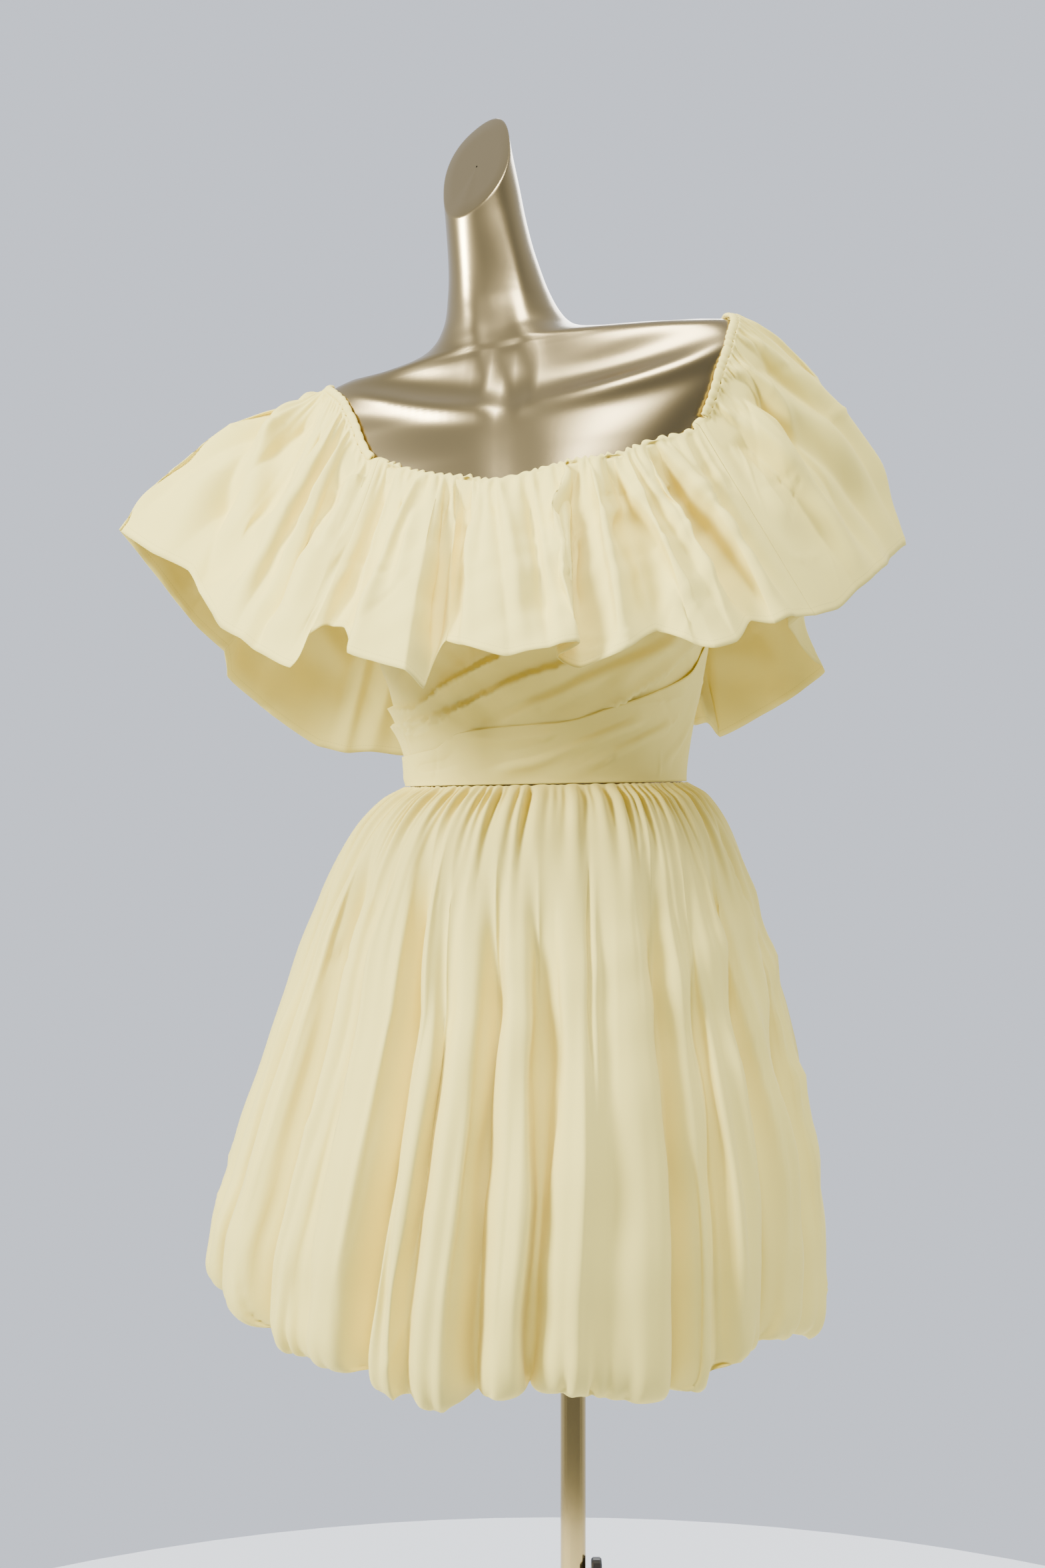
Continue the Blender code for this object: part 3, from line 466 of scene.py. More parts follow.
def bells(position, run, marks, widths, depths, lengths, spread, rise):
    """Gathers along an edge: each is depth * exp(-((position - mark) / w)^2), with w growing
    as 1 + run / spread, times exp(-run / length), and starts over the first rise."""
    total = np.zeros(np.broadcast(position, run).shape)
    start = 1.0 - np.exp(-(run + 0.4) / rise)
    for mark, width, depth, length in zip(marks, widths, depths, lengths):
        wide = width * (1 + run / spread)
        total += depth * np.exp(-((position - mark) / wide) ** 2 - run / length)
    return total * start


def creases(run, drop, count, seed, length, width, depth):
    """Pressed creases: each is depth * exp(-|t| / width) * exp(-(s / length)^2), where s runs
    along the crease and t across it, at a random place, angle and size."""
    rng = np.random.default_rng(seed)
    total = np.zeros(run.shape)
    for _ in range(count):
        x = rng.uniform(run.min(), run.max())
        y = rng.uniform(drop.min(), drop.max())
        turn = rng.uniform(-1.5, 1.5)
        size = rng.uniform(*length)
        wide = rng.uniform(*width)
        high = rng.normal() * depth
        s = (run - x) * math.cos(turn) + (drop - y) * math.sin(turn)
        t = (drop - y) * math.cos(turn) - (run - x) * math.sin(turn)
        total += high * np.exp(-np.abs(t) / wide - (s / size) ** 2)
    return total


def pleats(position, drop, count, seed, width, depth, reach):
    """Long folds down the cloth: each is depth * exp(-|x / width|^p), where x is the distance
    from a line that leans slowly with the drop and p is 1.1 on a pressed fold and 2 on a soft
    one, faded in and out at the ends of its own stretch."""
    rng = np.random.default_rng(seed)
    total = np.zeros(np.broadcast(position, drop).shape)
    low, high = position.min(), position.max()
    for k in range(count):
        place = rng.uniform(low, high)
        lean = rng.normal() * 0.02 * width[1]
        wide = rng.uniform(*width)
        begin = rng.uniform(-0.1, 0.55) * reach
        end = begin + rng.uniform(0.35, 0.9) * reach
        x = np.abs(position - place - lean * drop / 10) / wide
        shape = np.exp(-x ** (1.1 if k % 3 else 2.0))
        fade = ramp(drop, begin, begin + 0.2 * reach) * (1 - ramp(drop, end - 0.2 * reach, end))
        total += shape * fade * rng.normal() * depth
    return total


def billows(run, drop, seed, lengths, depth, count=9):
    """Slow waves in the cloth: the sum of sines of random direction and wavelength, each as
    deep as depth times its wavelength over the longest one."""
    rng = np.random.default_rng(seed)
    total = np.zeros(run.shape)
    for _ in range(count):
        size = rng.uniform(*lengths)
        turn = rng.uniform(0, math.pi)
        phase = rng.uniform(0, 2 * math.pi)
        wave = (run * math.cos(turn) + drop * math.sin(turn)) * 2 * math.pi / size
        total += np.sin(wave + phase) * depth * size / lengths[1]
    return total


def along_line(angle, height, line, width):
    """How near points lie to a line drawn over angle and height: exp(-(d / width)^2) with d
    the height above the line, fading out over the line's last 8 degrees."""
    level = np.interp(angle, *zip(*line))
    ends = ramp(angle, line[0][0] - 2, line[0][0] + 8)
    ends = ends * (1 - ramp(angle, line[-1][0] - 8, line[-1][0] + 2))
    return np.exp(-((height - level) / width) ** 2) * ends


def sheet_faces(rows, columns, closed=False):
    """Quads over a grid of points counted row by row, as one array."""
    i, j = np.indices((rows - 1, columns if closed else columns - 1))
    k = (j + 1) % columns
    quads = (i * columns + j, i * columns + k, (i + 1) * columns + k, (i + 1) * columns + j)
    return np.stack(quads, axis=-1).reshape(-1, 4)


def make_object(name, points, quads, uv, look):
    """Links a mesh of quads at the origin, from arrays in metres, with one UV per point."""
    mesh = bpy.data.meshes.new(name)
    mesh.vertices.add(len(points))
    mesh.vertices.foreach_set("co", points.astype(np.float32).ravel())
    mesh.loops.add(quads.size)
    mesh.loops.foreach_set("vertex_index", quads.astype(np.int32).ravel())
    mesh.polygons.add(len(quads))
    mesh.polygons.foreach_set("loop_start", np.arange(0, quads.size, 4, dtype=np.int32))
    mesh.update(calc_edges=True)
    layer = mesh.uv_layers.new(name="cloth")
    layer.data.foreach_set("uv", uv[quads.ravel()].astype(np.float32).ravel())
    mesh.validate()
    mesh.shade_smooth()
    mesh.materials.append(look)
    obj = bpy.data.objects.new(name, mesh)
    bpy.context.scene.collection.objects.link(obj)
    return obj


def make_shell(name, grid, uv=None):
    """Closed wall of cotton: the grid, a copy moved in along its normals by the thickness,
    and a rim that joins the two. The grid is in millimetres above the waist seam."""
    thickness = bpy.context.scene.dress_sizes.cloth_thickness
    rows, columns = grid.shape[:2]
    count = rows * columns
    inner = grid - grid_normals(grid) * thickness / MM
    quads = sheet_faces(rows, columns)
    index = np.arange(count).reshape(rows, columns)
    rim = np.concatenate((index[0, :], index[1:, -1], index[-1, -2::-1], index[-2:0:-1, 0]))
    ahead = np.roll(rim, -1)
    edge = np.stack((ahead, rim, rim + count, ahead + count), axis=-1)
    faces = np.concatenate((quads, quads[:, ::-1] + count, edge))
    if uv is None:
        run, drop = cloth_runs(grid)
        uv = np.stack((run * MM, drop * MM + 1.0), axis=-1)
    points = points_of(np.concatenate((grid, inner)))
    uv = np.concatenate((uv, uv)).reshape(-1, 2)
    return make_object(name, points, faces, uv, cotton_material())


def make_tube(name, grid, look, uv):
    """Mesh over a grid whose columns close up round it, with its UV as a grid too."""
    faces = sheet_faces(*grid.shape[:2], closed=True)
    return make_object(name, points_of(grid), faces, uv.reshape(-1, 2), look)


def hang_panels(panels, shape):
    """Builds each panel from its name, its solid's name and what its shape is made from."""
    for name, node, *given in panels:
        dress_piece(make_shell(name, *shape(*given)), node)
    return {"FINISHED"}


def dress_piece(obj, *nodes):
    """Puts a cloth piece on the dressed form's body in place of its plain solids."""
    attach(obj, DRESSED)
    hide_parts(*nodes)


def new_material(name, colour, roughness, metallic, more=None):
    """A Principled material with its inputs set directly."""
    made = bpy.data.materials.new(name)
    made.use_nodes = True
    inputs = made.node_tree.nodes["Principled BSDF"].inputs
    inputs["Base Color"].default_value = (*colour, 1.0)
    inputs["Roughness"].default_value = roughness
    inputs["Metallic"].default_value = metallic
    for key, value in (more or {}).items():
        inputs[key].default_value = value
    return made


def add_node(tree, kind, inputs, **settings):
    """Outputs of a new shader node whose inputs are linked to sockets or set to values."""
    node = tree.nodes.new("ShaderNode" + kind)
    for key, value in settings.items():
        setattr(node, key, value)
    for key, value in inputs.items():
        if isinstance(value, bpy.types.NodeSocket):
            tree.links.new(value, node.inputs[key])
        else:
            node.inputs[key].default_value = value
    return node.outputs


def add_math(tree, operation, *values):
    """Result of a Math node on sockets or plain numbers."""
    return add_node(tree, "Math", dict(enumerate(values)), operation=operation)[0]


def add_mix(tree, first, second, factor):
    """Blend of two colours by a factor."""
    inputs = {6: first, 7: second, "Factor": factor}
    return add_node(tree, "Mix", inputs, data_type="RGBA")[2]


def cotton_material():
    """Crisp cotton: a slight unevenness of colour, threads both ways as bump, and the
    stitch line of the turned hem, which is read from the cloth's UV in metres."""
    found = bpy.data.materials.get("cotton_poplin")
    if found:
        return found
    cotton = np.array(bpy.context.scene.dress_colours.cotton)
    made = new_material("cotton_poplin", cotton, 0.78, 0.0, {
        "Sheen Weight": 0.06, "Sheen Roughness": 0.45, "Specular IOR Level": 0.28})
    tree = made.node_tree
    place = add_node(tree, "TexCoord", {})["Object"]
    cloud = add_node(tree, "TexNoise", {"Scale": 7.0, "Detail": 3.0, "Vector": place})["Fac"]
    tint = add_mix(tree, (*(cotton * 0.965), 1.0), (*np.minimum(cotton * 1.03, 1.0), 1.0), cloud)

    cloth = add_node(tree, "UVMap", {}, uv_map="cloth")["UV"]
    run, rise, _ = add_node(tree, "SeparateXYZ", {0: cloth})
    off_line = add_math(tree, "ABSOLUTE", add_math(tree, "SUBTRACT", rise, STITCH_HEIGHT))
    on_line = add_math(tree, "LESS_THAN", off_line, STITCH_HALF_WIDTH)
    beat = add_math(tree, "FRACT", add_math(tree, "DIVIDE", run, STITCH_LENGTH))
    on_beat = add_math(tree, "LESS_THAN", beat, STITCH_SHARE)
    stitch = add_math(tree, "MULTIPLY", on_line, on_beat)
    colour = add_mix(tree, tint, (*(cotton * 0.86), 1.0), stitch)

    height = stitch
    for scale in ((WEAVE_LONG, WEAVE_FINE, 1.0), (WEAVE_FINE, WEAVE_LONG, 1.0)):
        stretch = add_node(tree, "Mapping", {"Scale": scale, "Vector": cloth})[0]
        noise = add_node(tree, "TexNoise", {"Scale": 1.0, "Detail": 1.0, "Vector": stretch})
        height = add_math(tree, "ADD", height, noise["Fac"])
    bump = add_node(tree, "Bump", {"Strength": 0.22, "Distance": 0.0002, "Height": height})[0]
    shader = tree.nodes["Principled BSDF"]
    tree.links.new(colour, shader.inputs["Base Color"])
    tree.links.new(bump, shader.inputs["Normal"])
    return made


def read_folds(folds, per_fold):
    """A fold table as an array, its row numbers, and the columns' places between them."""
    table = np.array(folds, float)
    index = np.arange(len(table))
    return table, index, np.linspace(0, len(table) - 1, (len(table) - 1) * per_fold + 1)


def even_mix(steps, index, values, share):
    """Blend of the smooth reading of the values, by its share, and the straight one."""
    return share * smooth(steps, index, values) + (1 - share) * np.interp(steps, index, values)


def fold_depth(steps, values):
    """Depth between a crest and the trough beside it: the share of the way is raised to the
    sharpness, so that the cloth stays broad over a crest and drops late."""
    low = np.minimum(values[:-1], values[1:])
    high = np.maximum(values[:-1], values[1:])
    k = np.minimum(steps.astype(int), len(values) - 2)
    depth = smooth(steps, np.arange(len(values)), values)
    share = (depth - low[k]) / np.maximum(high[k] - low[k], 1e-9)
    return low[k] + (high[k] - low[k]) * share ** FOLD_SHARPNESS


def pinch_of(steps, values):
    """Sideways move of a fold's wall toward its trough: 4q(1 - q) times the fold's depth,
    with q the share of the way from one row of the table to the next."""
    k = np.minimum(steps.astype(int), len(values) - 2)
    q = steps - k
    return (values[k + 1] - values[k]) * 4 * q * (1 - q)


def skirt_points(folds, seed):
    """Skirt panel: each row is an oval cut back by the folds, whose walls are pinched toward
    their troughs; gathers run down from the waist seam and up from the turned hem, and
    long folds, creases and slow waves are added along the normals."""
    table, index, steps = read_folds(folds, SKIRT_STEPS)
    at_waist = np.interp(steps, index, table[:, 0])
    at_hem = np.interp(steps, index, table[:, 1])
    inset = fold_depth(steps, table[:, 2])
    pinch = pinch_of(steps, table[:, 2]) * FOLD_PINCH
    hem = even_mix(steps, index, table[:, 3], 0.1)
    begin = np.interp(steps, index, table[:, 4])
    sections = np.array(SKIRT_SECTIONS)
    level = np.arange(len(sections))
    at = np.interp(np.linspace(0, 1, SKIRT_ROWS), (0, 0.16, 0.72, 0.93, 1),
                   (0, 3, 9, 12, len(sections) - 1))
    drop, centre, half, front, back, share = (
        smooth(at, level, sections[:, i])[:, None] for i in range(6)
    )
    outside = (at <= 11)[:, None]
    swing = np.minimum(1.0, drop / SWING_DROP) ** 0.7
    angle = at_waist + (at_hem - at_waist) * swing
    grown = share * ramp(drop, begin - 40, begin + 110)
    angle = angle + np.degrees(pinch * grown / half)
    size = 1.0 - inset * grown / half
    hang = np.minimum(1.0, drop / WAIST_FADE)
    lift = (hem - HEM_DROP) * np.clip((drop - LIFT_START) / (HEM_DROP - LIFT_START), 0, 1)
    grid = oval(angle, centre, 0.0, half * size, front * size, back * size, -(drop + lift),
                WAIST_ROLL * (1 - hang), WAIST_TURN * (1 - hang),
                SECTION_POWER + (1.0 - SECTION_POWER) * hang)[::-1]
    angle, outside = angle[::-1], outside[::-1]
    drop = np.broadcast_to(drop[::-1], grid.shape[:2])
    edge = side_fade(angle, 4)
    rng = np.random.default_rng(seed)

    def edge_bells(run, count, shift, width, depth, length, spread, rise):
        marks = np.linspace(at_waist[0] + 3, at_waist[-1] - 3, count)
        marks = marks + rng.uniform(-shift, shift, count)
        drawn = (rng.uniform(*ends, count) for ends in (width, depth, length))
        return bells(angle, run, marks, *drawn, spread, rise)

    small = edge_bells(drop, WAIST_GATHERS, 1.4, (0.7, 1.25), (0.5, 1.5), (26, 95), 70.0, 4.0)
    below = np.where(outside, HEM_DROP - drop, 0.0)
    tucks = edge_bells(below, HEM_TUCKS, 2.2, (0.5, 1.1), (0.2, 1.3), (12, 70), 50.0, 1.5)
    run, fall = cloth_runs(grid)
    fine = creases(run, fall, SKIRT_CREASES, seed + 1, (14, 60), (1.0, 3.4), crease_depth())
    slow = billows(run, fall, seed + 2, (60, 190), 0.7)
    folded = pleats(angle, drop, LONG_FOLDS, seed + 3, (0.5, 1.8), LONG_FOLD_DEPTH, HEM_DROP)
    move = slow * ramp(drop, 30, 160) + fine * ramp(drop, 25, 90)
    move += folded * np.where(outside, 1.0, 0.4) * ramp(drop, 5, 120)
    gather = bpy.context.scene.dress_sizes.gather_depth
    move -= small * gather / MM + tucks * TUCK_DEPTH
    return (pushed_out(grid, move * edge),)


def neckline(mark, off):
    """Point off the form's skin at a mark of the neckline, and the skin's normal there."""
    mark = (mark - NECKLINE[0][0]) % 360.0 + NECKLINE[0][0]
    angle = from_table(NECKLINE, 1, mark)
    height = from_table(NECKLINE, 2, mark)
    normal = skin_normal(angle, height)
    return skin(angle, height) + normal * np.reshape(off, (-1, 1)), normal


def neck_frame(mark, off):
    """The neckline with its outward direction along the skin, away from the neck."""
    point, normal = neckline(mark, off)
    ahead = neckline(mark + 1.0, off)[0] - neckline(mark - 1.0, off)[0]
    return point, normal, unit(np.cross(ahead, normal))


def even_out(values, reach):
    """Running mean of rows of values over a reach of rows either way, with the ends held by
    turning the values about them."""
    before = 2 * values[0] - values[reach:0:-1]
    after = 2 * values[-1] - values[-2:-reach - 2:-1]
    padded = np.concatenate((before, values, after))
    weight = np.hanning(2 * reach + 3)[1:-1]
    weight /= weight.sum()
    return np.stack([np.convolve(column, weight, "valid") for column in padded.T], axis=-1)


def ruffle_points(folds, lines, per_fold, seed, gathers, seat, lift):
    """Ruffle panel: lines run from the neckline to an even hem, plus each fold's departure
    from it times v^0.4, plus the arch times 4v(1 - v). The top edge rolls inward on a half
    circle, small gathers and long creases run down from it, no dent reaches the form below,
    and the hem has a turned, slightly thicker edge."""
    table, index, steps = read_folds(folds, per_fold)
    mark = np.interp(steps, index, table[:, 0])
    turn = np.radians(table[:, 1])
    corners = (RUFFLE_CENTRE_X + table[:, 2] * np.sin(turn), -table[:, 2] * np.cos(turn),
               table[:, 3])
    hem = np.stack([even_mix(steps, index, row, 0.55) for row in corners], axis=-1)
    arch = smooth(steps, index, table[:, 4])
    ends = side_fade(mark, 4)
    start, normal, across = neck_frame(mark, RUFFLE_SEAT + lift * ends)
    start = start + across * (seat * ends)[:, None]
    even = even_out(hem, int(per_fold * 2.2))
    fall = even - start
    length = np.linalg.norm(hem - start, axis=-1)
    up = unit(np.array((0.0, 0.0, 1.0)) - unit(fall) * unit(fall)[:, 2:3])
    v = np.linspace(0, 1, RUFFLE_ROWS)[::-1, None] ** 1.25
    grid = start + fall * v[..., None] + (hem - even) * (v ** 0.4)[..., None]
    grid = grid + up * (arch * 4 * v * (1 - v))[..., None]

    rng = np.random.default_rng(seed)
    span = mark[-1] - mark[0]
    marks = np.linspace(mark[0] + 1.5, mark[-1] - 1.5, gathers)
    marks = marks + rng.uniform(-0.32, 0.32, gathers) * span / gathers
    width = span / gathers * rng.uniform(0.16, 0.34, gathers)
    run = length * v
    pucker = bells(mark, run, marks, width, rng.uniform(0.5, 1.6, gathers),
                   rng.uniform(12, 70, gathers), 30.0, 2.0)
    along, drop = cloth_runs(grid)
    fine = creases(along, drop, RUFFLE_CREASES, seed + 1, (10, 46), (0.9, 3.0), crease_depth())
    slow = billows(along, drop, seed + 2, (32, 110), 1.1)
    folded = pleats(mark, run, gathers, seed + 3, (0.5, 1.7), RUFFLE_FOLD_DEPTH, 130.0)
    move = (fine + slow * ramp(v, 0.1, 0.4)) * ramp(run, 6, 24) - pucker * PUCKER_DEPTH
    move += folded * ramp(run, 1, 12)
    for top, foot, depth, narrow, wide in lines:
        x = (mark - top - (foot - top) * v ** 0.8) / (narrow + (wide - narrow) * v)
        shape = 0.55 * np.exp(-(x - 1.7) ** 2) - np.exp(-np.abs(x) ** 1.3)
        move += depth * shape * ramp(v, 0.0, 0.08) * (1 - 0.7 * ramp(v, 0.7, 1.0))
    least, slope, below = DENT_LIMIT
    move = np.maximum(move, -least - slope * run - below * ramp(run, 25, 70))
    turned = 0.45 * ramp(run, length - HEM_TURN, length - HEM_TURN + 1.5)
    grid = pushed_out(grid, move * ends + turned)

    swell = 1.0 + 0.75 * np.sin(np.interp(mark, marks, np.arange(gathers)) * 2 * math.pi + 1.5)
    radius = (RUFFLE_ROLL * swell)[:, None]
    roll = [
        grid[-1] - across * radius * math.sin(t) - normal * radius * (1 - math.cos(t))
        for t in np.linspace(0, math.pi * 0.85, 6)[1:]
    ]
    grid = np.concatenate((grid, np.array(roll)))
    along, drop = cloth_runs(grid)
    return grid, np.stack((along * MM, (drop[:1] - drop) * MM), axis=-1)


def ease(height):
    """Room between cloth and form, a bell over the fullest part of the chest."""
    spread = np.where(height < BUST_HEIGHT, *BUST_SPREAD)
    return SKIN_GAP + BUST_EASE * np.exp(-((height - BUST_HEIGHT) / spread) ** 2)


def bodice_points(first, last, top, columns, rows, base, steps, folds, seed):
    """Bodice panel over the form: its height above the skin is the ease, plus for each pleat
    step rise * exp(-d / reach) on its raised side, plus each soft fold, creases and waves."""
    angle = np.linspace(first, last, columns)[None, :]
    share = np.linspace(0, 1, rows)[:, None]
    upper = from_table(top, 1, angle)
    height = BODICE_FOOT + (upper - BODICE_FOOT) * share
    angle = np.broadcast_to(angle, height.shape)
    off = ease(height) + base
    for side, rise, reach, begin, end, line in steps:
        level = np.interp(angle, *zip(*line))
        away = (height - level) * side
        fade = ramp(angle, begin, begin + 10) * (1 - ramp(angle, end - 10, end))
        off = off + rise * fade * np.where(away > 0, np.exp(-away / reach), 0.0)
        off = off - 0.9 * fade * np.where(away < 0, np.exp(away / 5.0), 0.0)
    for depth, width, line in folds:
        off = off + depth * along_line(angle, height, line, width)
    off = np.maximum(off, base + 0.4)
    grid = skin(angle, height, off)
    run, drop = cloth_runs(grid)
    move = creases(run, drop, 40, seed, (8, 34), (0.9, 2.6), crease_depth() * 0.8)
    move += billows(run, drop, seed + 1, (24, 70), 0.35)
    edge = ramp(angle, first, first + 5) * (1 - ramp(angle, last - 5, last))
    edge = edge * ramp(height, BODICE_FOOT, BODICE_FOOT + 8)
    move = np.maximum(move * edge, base + 0.4 - off)
    return (pushed_out(grid, move),)


def neck_cut(angle):
    """Height on the neck, by angle, at which its skin meets the slanted flat, found by
    stepping down the remaining gap."""
    height = np.full(np.shape(angle), NECK_TOP[2] - 45.0)
    for _ in range(30):
        gap = (skin(angle, height) - NECK_TOP) @ np.array(NECK_FLAT)
        height = height - gap / NECK_FLAT[2] * 0.6
    return height


def chest_relief(points, strength):
    """Relief on the chest: for each line, depth * w * exp(-(d / spread)^2), with d the distance
    to the line in the front view and w = sin(pi t)^0.6 along it, on the front only."""
    move = np.zeros(points.shape[:2])
    front = ramp(-points[..., 1], -18, 12)
    flat = points[..., [0, 2]]
    t = np.linspace(0, 1, 60)[:, None]
    share = np.sin(np.linspace(0.12, math.pi - 0.12, len(t))) ** 0.6
    for *places, depth, spread in FORM_RELIEF:
        start, middle, end = np.reshape(places, (3, 2))
        line = (1 - t) ** 2 * start + 2 * t * (1 - t) * middle + t ** 2 * end
        near = [w * np.exp(-(np.linalg.norm(flat - p, axis=-1) / spread) ** 2)
                for w, p in zip(share, line)]
        move += depth * np.max(near, axis=0)
    return move * front * strength


class DRESS_OT_skirt(bpy.types.Operator):
    """Builds the gathered bubble skirt in two panels"""

    bl_idname = "dress.skirt"
    bl_label = "Build the skirt"

    def execute(self, context):
        return hang_panels((
            ("skirt_front_cloth", "skirt_front", SKIRT_FRONT_FOLDS, 11),
            ("skirt_back_cloth", "skirt_back", SKIRT_BACK_FOLDS, 21),
        ), skirt_points)


class DRESS_OT_ruffle(bpy.types.Operator):
    """Builds the deep ruffle in four panels round the shoulders"""

    bl_idname = "dress.ruffle"
    bl_label = "Build the ruffle"

    def execute(self, context):
        return hang_panels((
            ("sleeve_left_cloth", "sleeve_flounce_left", SLEEVE_LEFT_FOLDS,
             SLEEVE_LEFT_CREASES, 26, 31, 44, SLEEVE_SEAT, SLEEVE_LIFT),
            ("flounce_front_cloth", "flounce_front", FLOUNCE_FRONT_FOLDS,
             FLOUNCE_FRONT_CREASES, 14, 41, 34, 0.0, 0.0),
            ("sleeve_right_cloth", "sleeve_flounce_right", SLEEVE_RIGHT_FOLDS,
             SLEEVE_RIGHT_CREASES, 30, 51, 42, SLEEVE_SEAT, SLEEVE_LIFT),
            ("flounce_back_cloth", "flounce_back", FLOUNCE_BACK_FOLDS,
             FLOUNCE_BACK_CREASES, 12, 61, 40, 0.0, 0.0),
        ), ruffle_points)


class DRESS_OT_bodice(bpy.types.Operator):
    """Builds the pleated bodice: front, wrap panel and back"""

    bl_idname = "dress.bodice"
    bl_label = "Build the bodice"

    def execute(self, context):
        return hang_panels((
            ("bodice_front_cloth", "bodice_front", -90, 90, BODICE_TOP, 170, 92, WALL,
             BODICE_STEPS, BODICE_FOLDS, 71),
            ("bodice_wrap_cloth", "bodice_wrap", -90, 90, WRAP_TOP, 190, 40, WALL * 2 + 0.8,
             (), WRAP_FOLDS, 81),
            ("bodice_back_cloth", "bodice_back", 90, 270, BACK_TOP, 110, 56, WALL, (), (), 91),
        ), bodice_points)


class DRESS_OT_casings(bpy.types.Operator):
    """Builds the two gathered elastic casings over the shoulders"""

    bl_idname = "dress.casings"
    bl_label = "Build the casings"

    def execute(self, context):
        for name, node, span, ridges, seed in (
            ("casing_left_cloth", "neck_casing_left", CASING_LEFT, 34, 101),
            ("casing_right_cloth", "neck_casing_right", CASING_RIGHT, 32, 111),
        ):
            rng = np.random.default_rng(seed)
            marks = np.linspace(*span, ridges * 7)
            beat = np.linspace(0, ridges, len(marks))
            shift = rng.uniform(-1, 1, ridges + 1)
            beat = beat + 0.35 * np.interp(beat, np.arange(ridges + 1), shift)
            swell = np.abs(np.sin(beat * math.pi)) ** 0.7 - 0.55
            path, normal, across = neck_frame(marks, CASING_LIFT)
            turns = np.linspace(0, 2 * math.pi, 17)[:-1]
            wide = (CASING_HALF_WIDTH + CASING_SWELL[0] * swell)[:, None] * np.cos(turns)
            thick = (CASING_HALF_THICK + CASING_SWELL[1] * swell)[:, None] * np.sin(turns)
            grid = path[:, None] + across[:, None] * wide[..., None]
            grid = grid + normal[:, None] * thick[..., None]
            caps = [grid[i].mean(0) + (grid[i] - grid[i].mean(0)) * 0.3 for i in (0, -1)]
            grid = np.concatenate((caps[:1], grid, caps[1:]))[::-1]
            uv = np.moveaxis(np.indices(grid.shape[:2]), 0, -1) * 0.001 + (0.0, 1.0)
            dress_piece(make_tube(name, grid, cotton_material(), uv), node)
        return {"FINISHED"}


class DRESS_OT_form(bpy.types.Operator):
    """Builds the satin gold dress form with its collarbones and slanted neck"""

    bl_idname = "dress.form"
    bl_label = "Build the form"

    def execute(self, context):
        colours = context.scene.dress_colours
        look = new_material("champagne_gold", colours.form_gold, colours.form_roughness, 1.0,
                            {"Coat Weight": 0.25, "Coat Roughness": 0.18})
        angles = np.arange(0, 360, 2.25)
        heights = np.concatenate((np.linspace(-262, 230, 50), np.linspace(233, 438, 84)[1:]))
        body = skin(angles[None, :], heights[:, None])
        cut = neck_cut(angles)
        share = np.linspace(0, 1, 34)[1:, None]
        neck = skin(angles[None, :], NECK_FOOT + (cut - NECK_FOOT) * share)
        grid = np.concatenate((body, neck))
        move = chest_relief(grid, context.scene.dress_sizes.relief)
        grid = pushed_out(grid, move, closed=True)
        caps = []
        for ring, axis in ((grid[0], (0.0, 0.0, -1.0)), (grid[-1], NECK_FLAT)):
            middle = ring.mean(0)
            caps.append([middle + (ring - middle) * s + np.array(axis) * d for s, d in CAP_RINGS])
        grid = np.concatenate((caps[0][::-1], grid, caps[1]))
        obj = make_tube("form_shell", grid, look, np.zeros((*grid.shape[:2], 2)))
        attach(obj, DRESSED)
        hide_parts("form_body")
        return {"FINISHED"}


class DRESS_OT_stand(bpy.types.Operator):
    """Gives the stand its polished gold and the lock knob its black plastic"""

    bl_idname = "dress.stand"
    bl_label = "Finish the stand"

    def execute(self, context):
        gold = new_material("polished_gold", context.scene.dress_colours.pole_gold, 0.14, 1.0,
                            {"Coat Weight": 0.3, "Coat Roughness": 0.05})
        black = new_material("black_plastic", (0.018, 0.018, 0.02), 0.42, 0.0)
        for node in ("base_plate", "lower_tube", "lock_boss", "upper_pole", "pole_socket"):
            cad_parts[node].material_slots[0].material = gold
        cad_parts["lock_knob"].material_slots[0].material = black
        return {"FINISHED"}


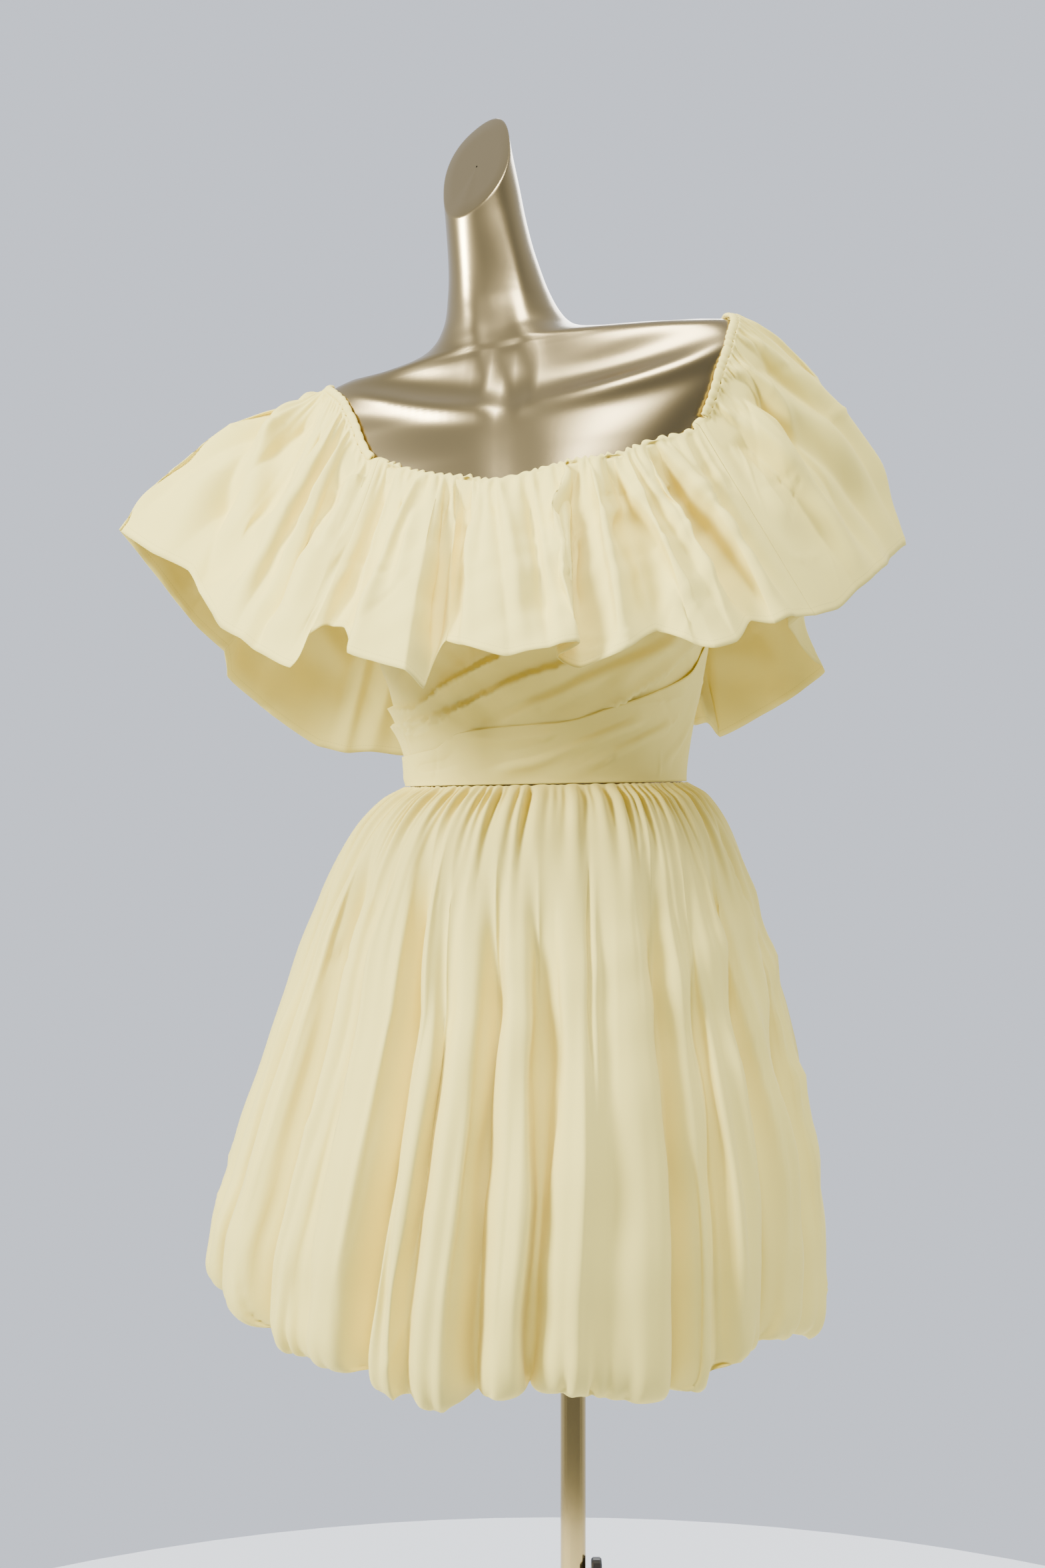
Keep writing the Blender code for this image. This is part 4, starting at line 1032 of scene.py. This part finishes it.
class DRESS_OT_stage(bpy.types.Operator):
    """Builds the plain floor, the soft lights and the camera"""

    bl_idname = "dress.stage"
    bl_label = "Build the stage"

    def execute(self, context):
        settings = context.scene.dress_stage
        look = new_material("floor_paint", context.scene.dress_colours.floor, 0.9, 0.0)
        bpy.ops.mesh.primitive_circle_add(vertices=96, radius=FLOOR_RADIUS, fill_type="NGON")
        floor = context.object
        floor.name = "floor"
        floor.data.materials.append(look)
        world = bpy.data.worlds.new("studio")
        world.use_nodes = True
        tree = world.node_tree
        way = add_node(tree, "TexCoord", {})["Generated"]
        depth = add_node(tree, "SeparateXYZ", {0: way})[1]
        behind = add_node(tree, "MapRange", {"From Min": -0.7, "From Max": 0.7, "Value": depth},
                          interpolation_type="SMOOTHSTEP")[0]
        sky = tree.nodes["Background"]
        tree.links.new(add_mix(tree, AHEAD_TONE, BEHIND_TONE, behind), sky.inputs["Color"])
        sky.inputs["Strength"].default_value = settings.surround
        context.scene.world = world
        for name, place, aim, size, share in LAMPS:
            lamp = bpy.data.lights.new(name, "AREA")
            lamp.energy = settings.key_power * share
            lamp.color = LAMP_COLOUR
            lamp.size = size
            holder = bpy.data.objects.new(name, lamp)
            holder.location = place
            aim = unit(np.subtract(aim, place))
            holder.rotation_euler = (
                math.acos(-aim[2]), 0.0, math.atan2(aim[0], -aim[1]) + math.pi)
            context.scene.collection.objects.link(holder)
        lens = bpy.data.cameras.new("camera")
        lens.lens = settings.lens
        lens.sensor_width = 36.0
        view = bpy.data.objects.new("camera", lens)
        view.location = CAMERA_PLACE
        view.rotation_euler = (math.radians(90), 0.0, 0.0)
        context.scene.collection.objects.link(view)
        context.scene.camera = view
        return {"FINISHED"}


OPERATORS = (DRESS_OT_form, DRESS_OT_skirt, DRESS_OT_bodice, DRESS_OT_casings, DRESS_OT_ruffle,
             DRESS_OT_stand, DRESS_OT_stage)
GROUPS = (("dress_sizes", DressSizes), ("dress_colours", DressColours),
          ("dress_stage", DressStage))


class DRESS_PT_panel(bpy.types.Panel):
    """Lists the settings and the steps that build the dress"""

    bl_idname = "DRESS_PT_panel"
    bl_label = "Dress on a form"
    bl_space_type = "VIEW_3D"
    bl_region_type = "UI"
    bl_category = "Dress"

    def draw(self, context):
        for name, group in GROUPS:
            column = self.layout.column(align=True)
            for key in group.__annotations__:
                column.prop(getattr(context.scene, name), key)
        for operator in OPERATORS:
            self.layout.operator(operator.bl_idname)


register_classes, unregister_classes = bpy.utils.register_classes_factory(
    (*(group for _, group in GROUPS), *OPERATORS, DRESS_PT_panel))


def register():
    register_classes()
    for name, group in GROUPS:
        setattr(bpy.types.Scene, name, PointerProperty(type=group))


def unregister():
    for name, _ in GROUPS:
        delattr(bpy.types.Scene, name)
    unregister_classes()


def main():
    register()
    bpy.ops.dress.form()
    bpy.ops.dress.skirt()
    bpy.ops.dress.bodice()
    bpy.ops.dress.casings()
    bpy.ops.dress.ruffle()
    bpy.ops.dress.stand()
    bpy.ops.dress.stage()
    bpy.context.view_layer.update()


if __name__ == "__main__":
    main()
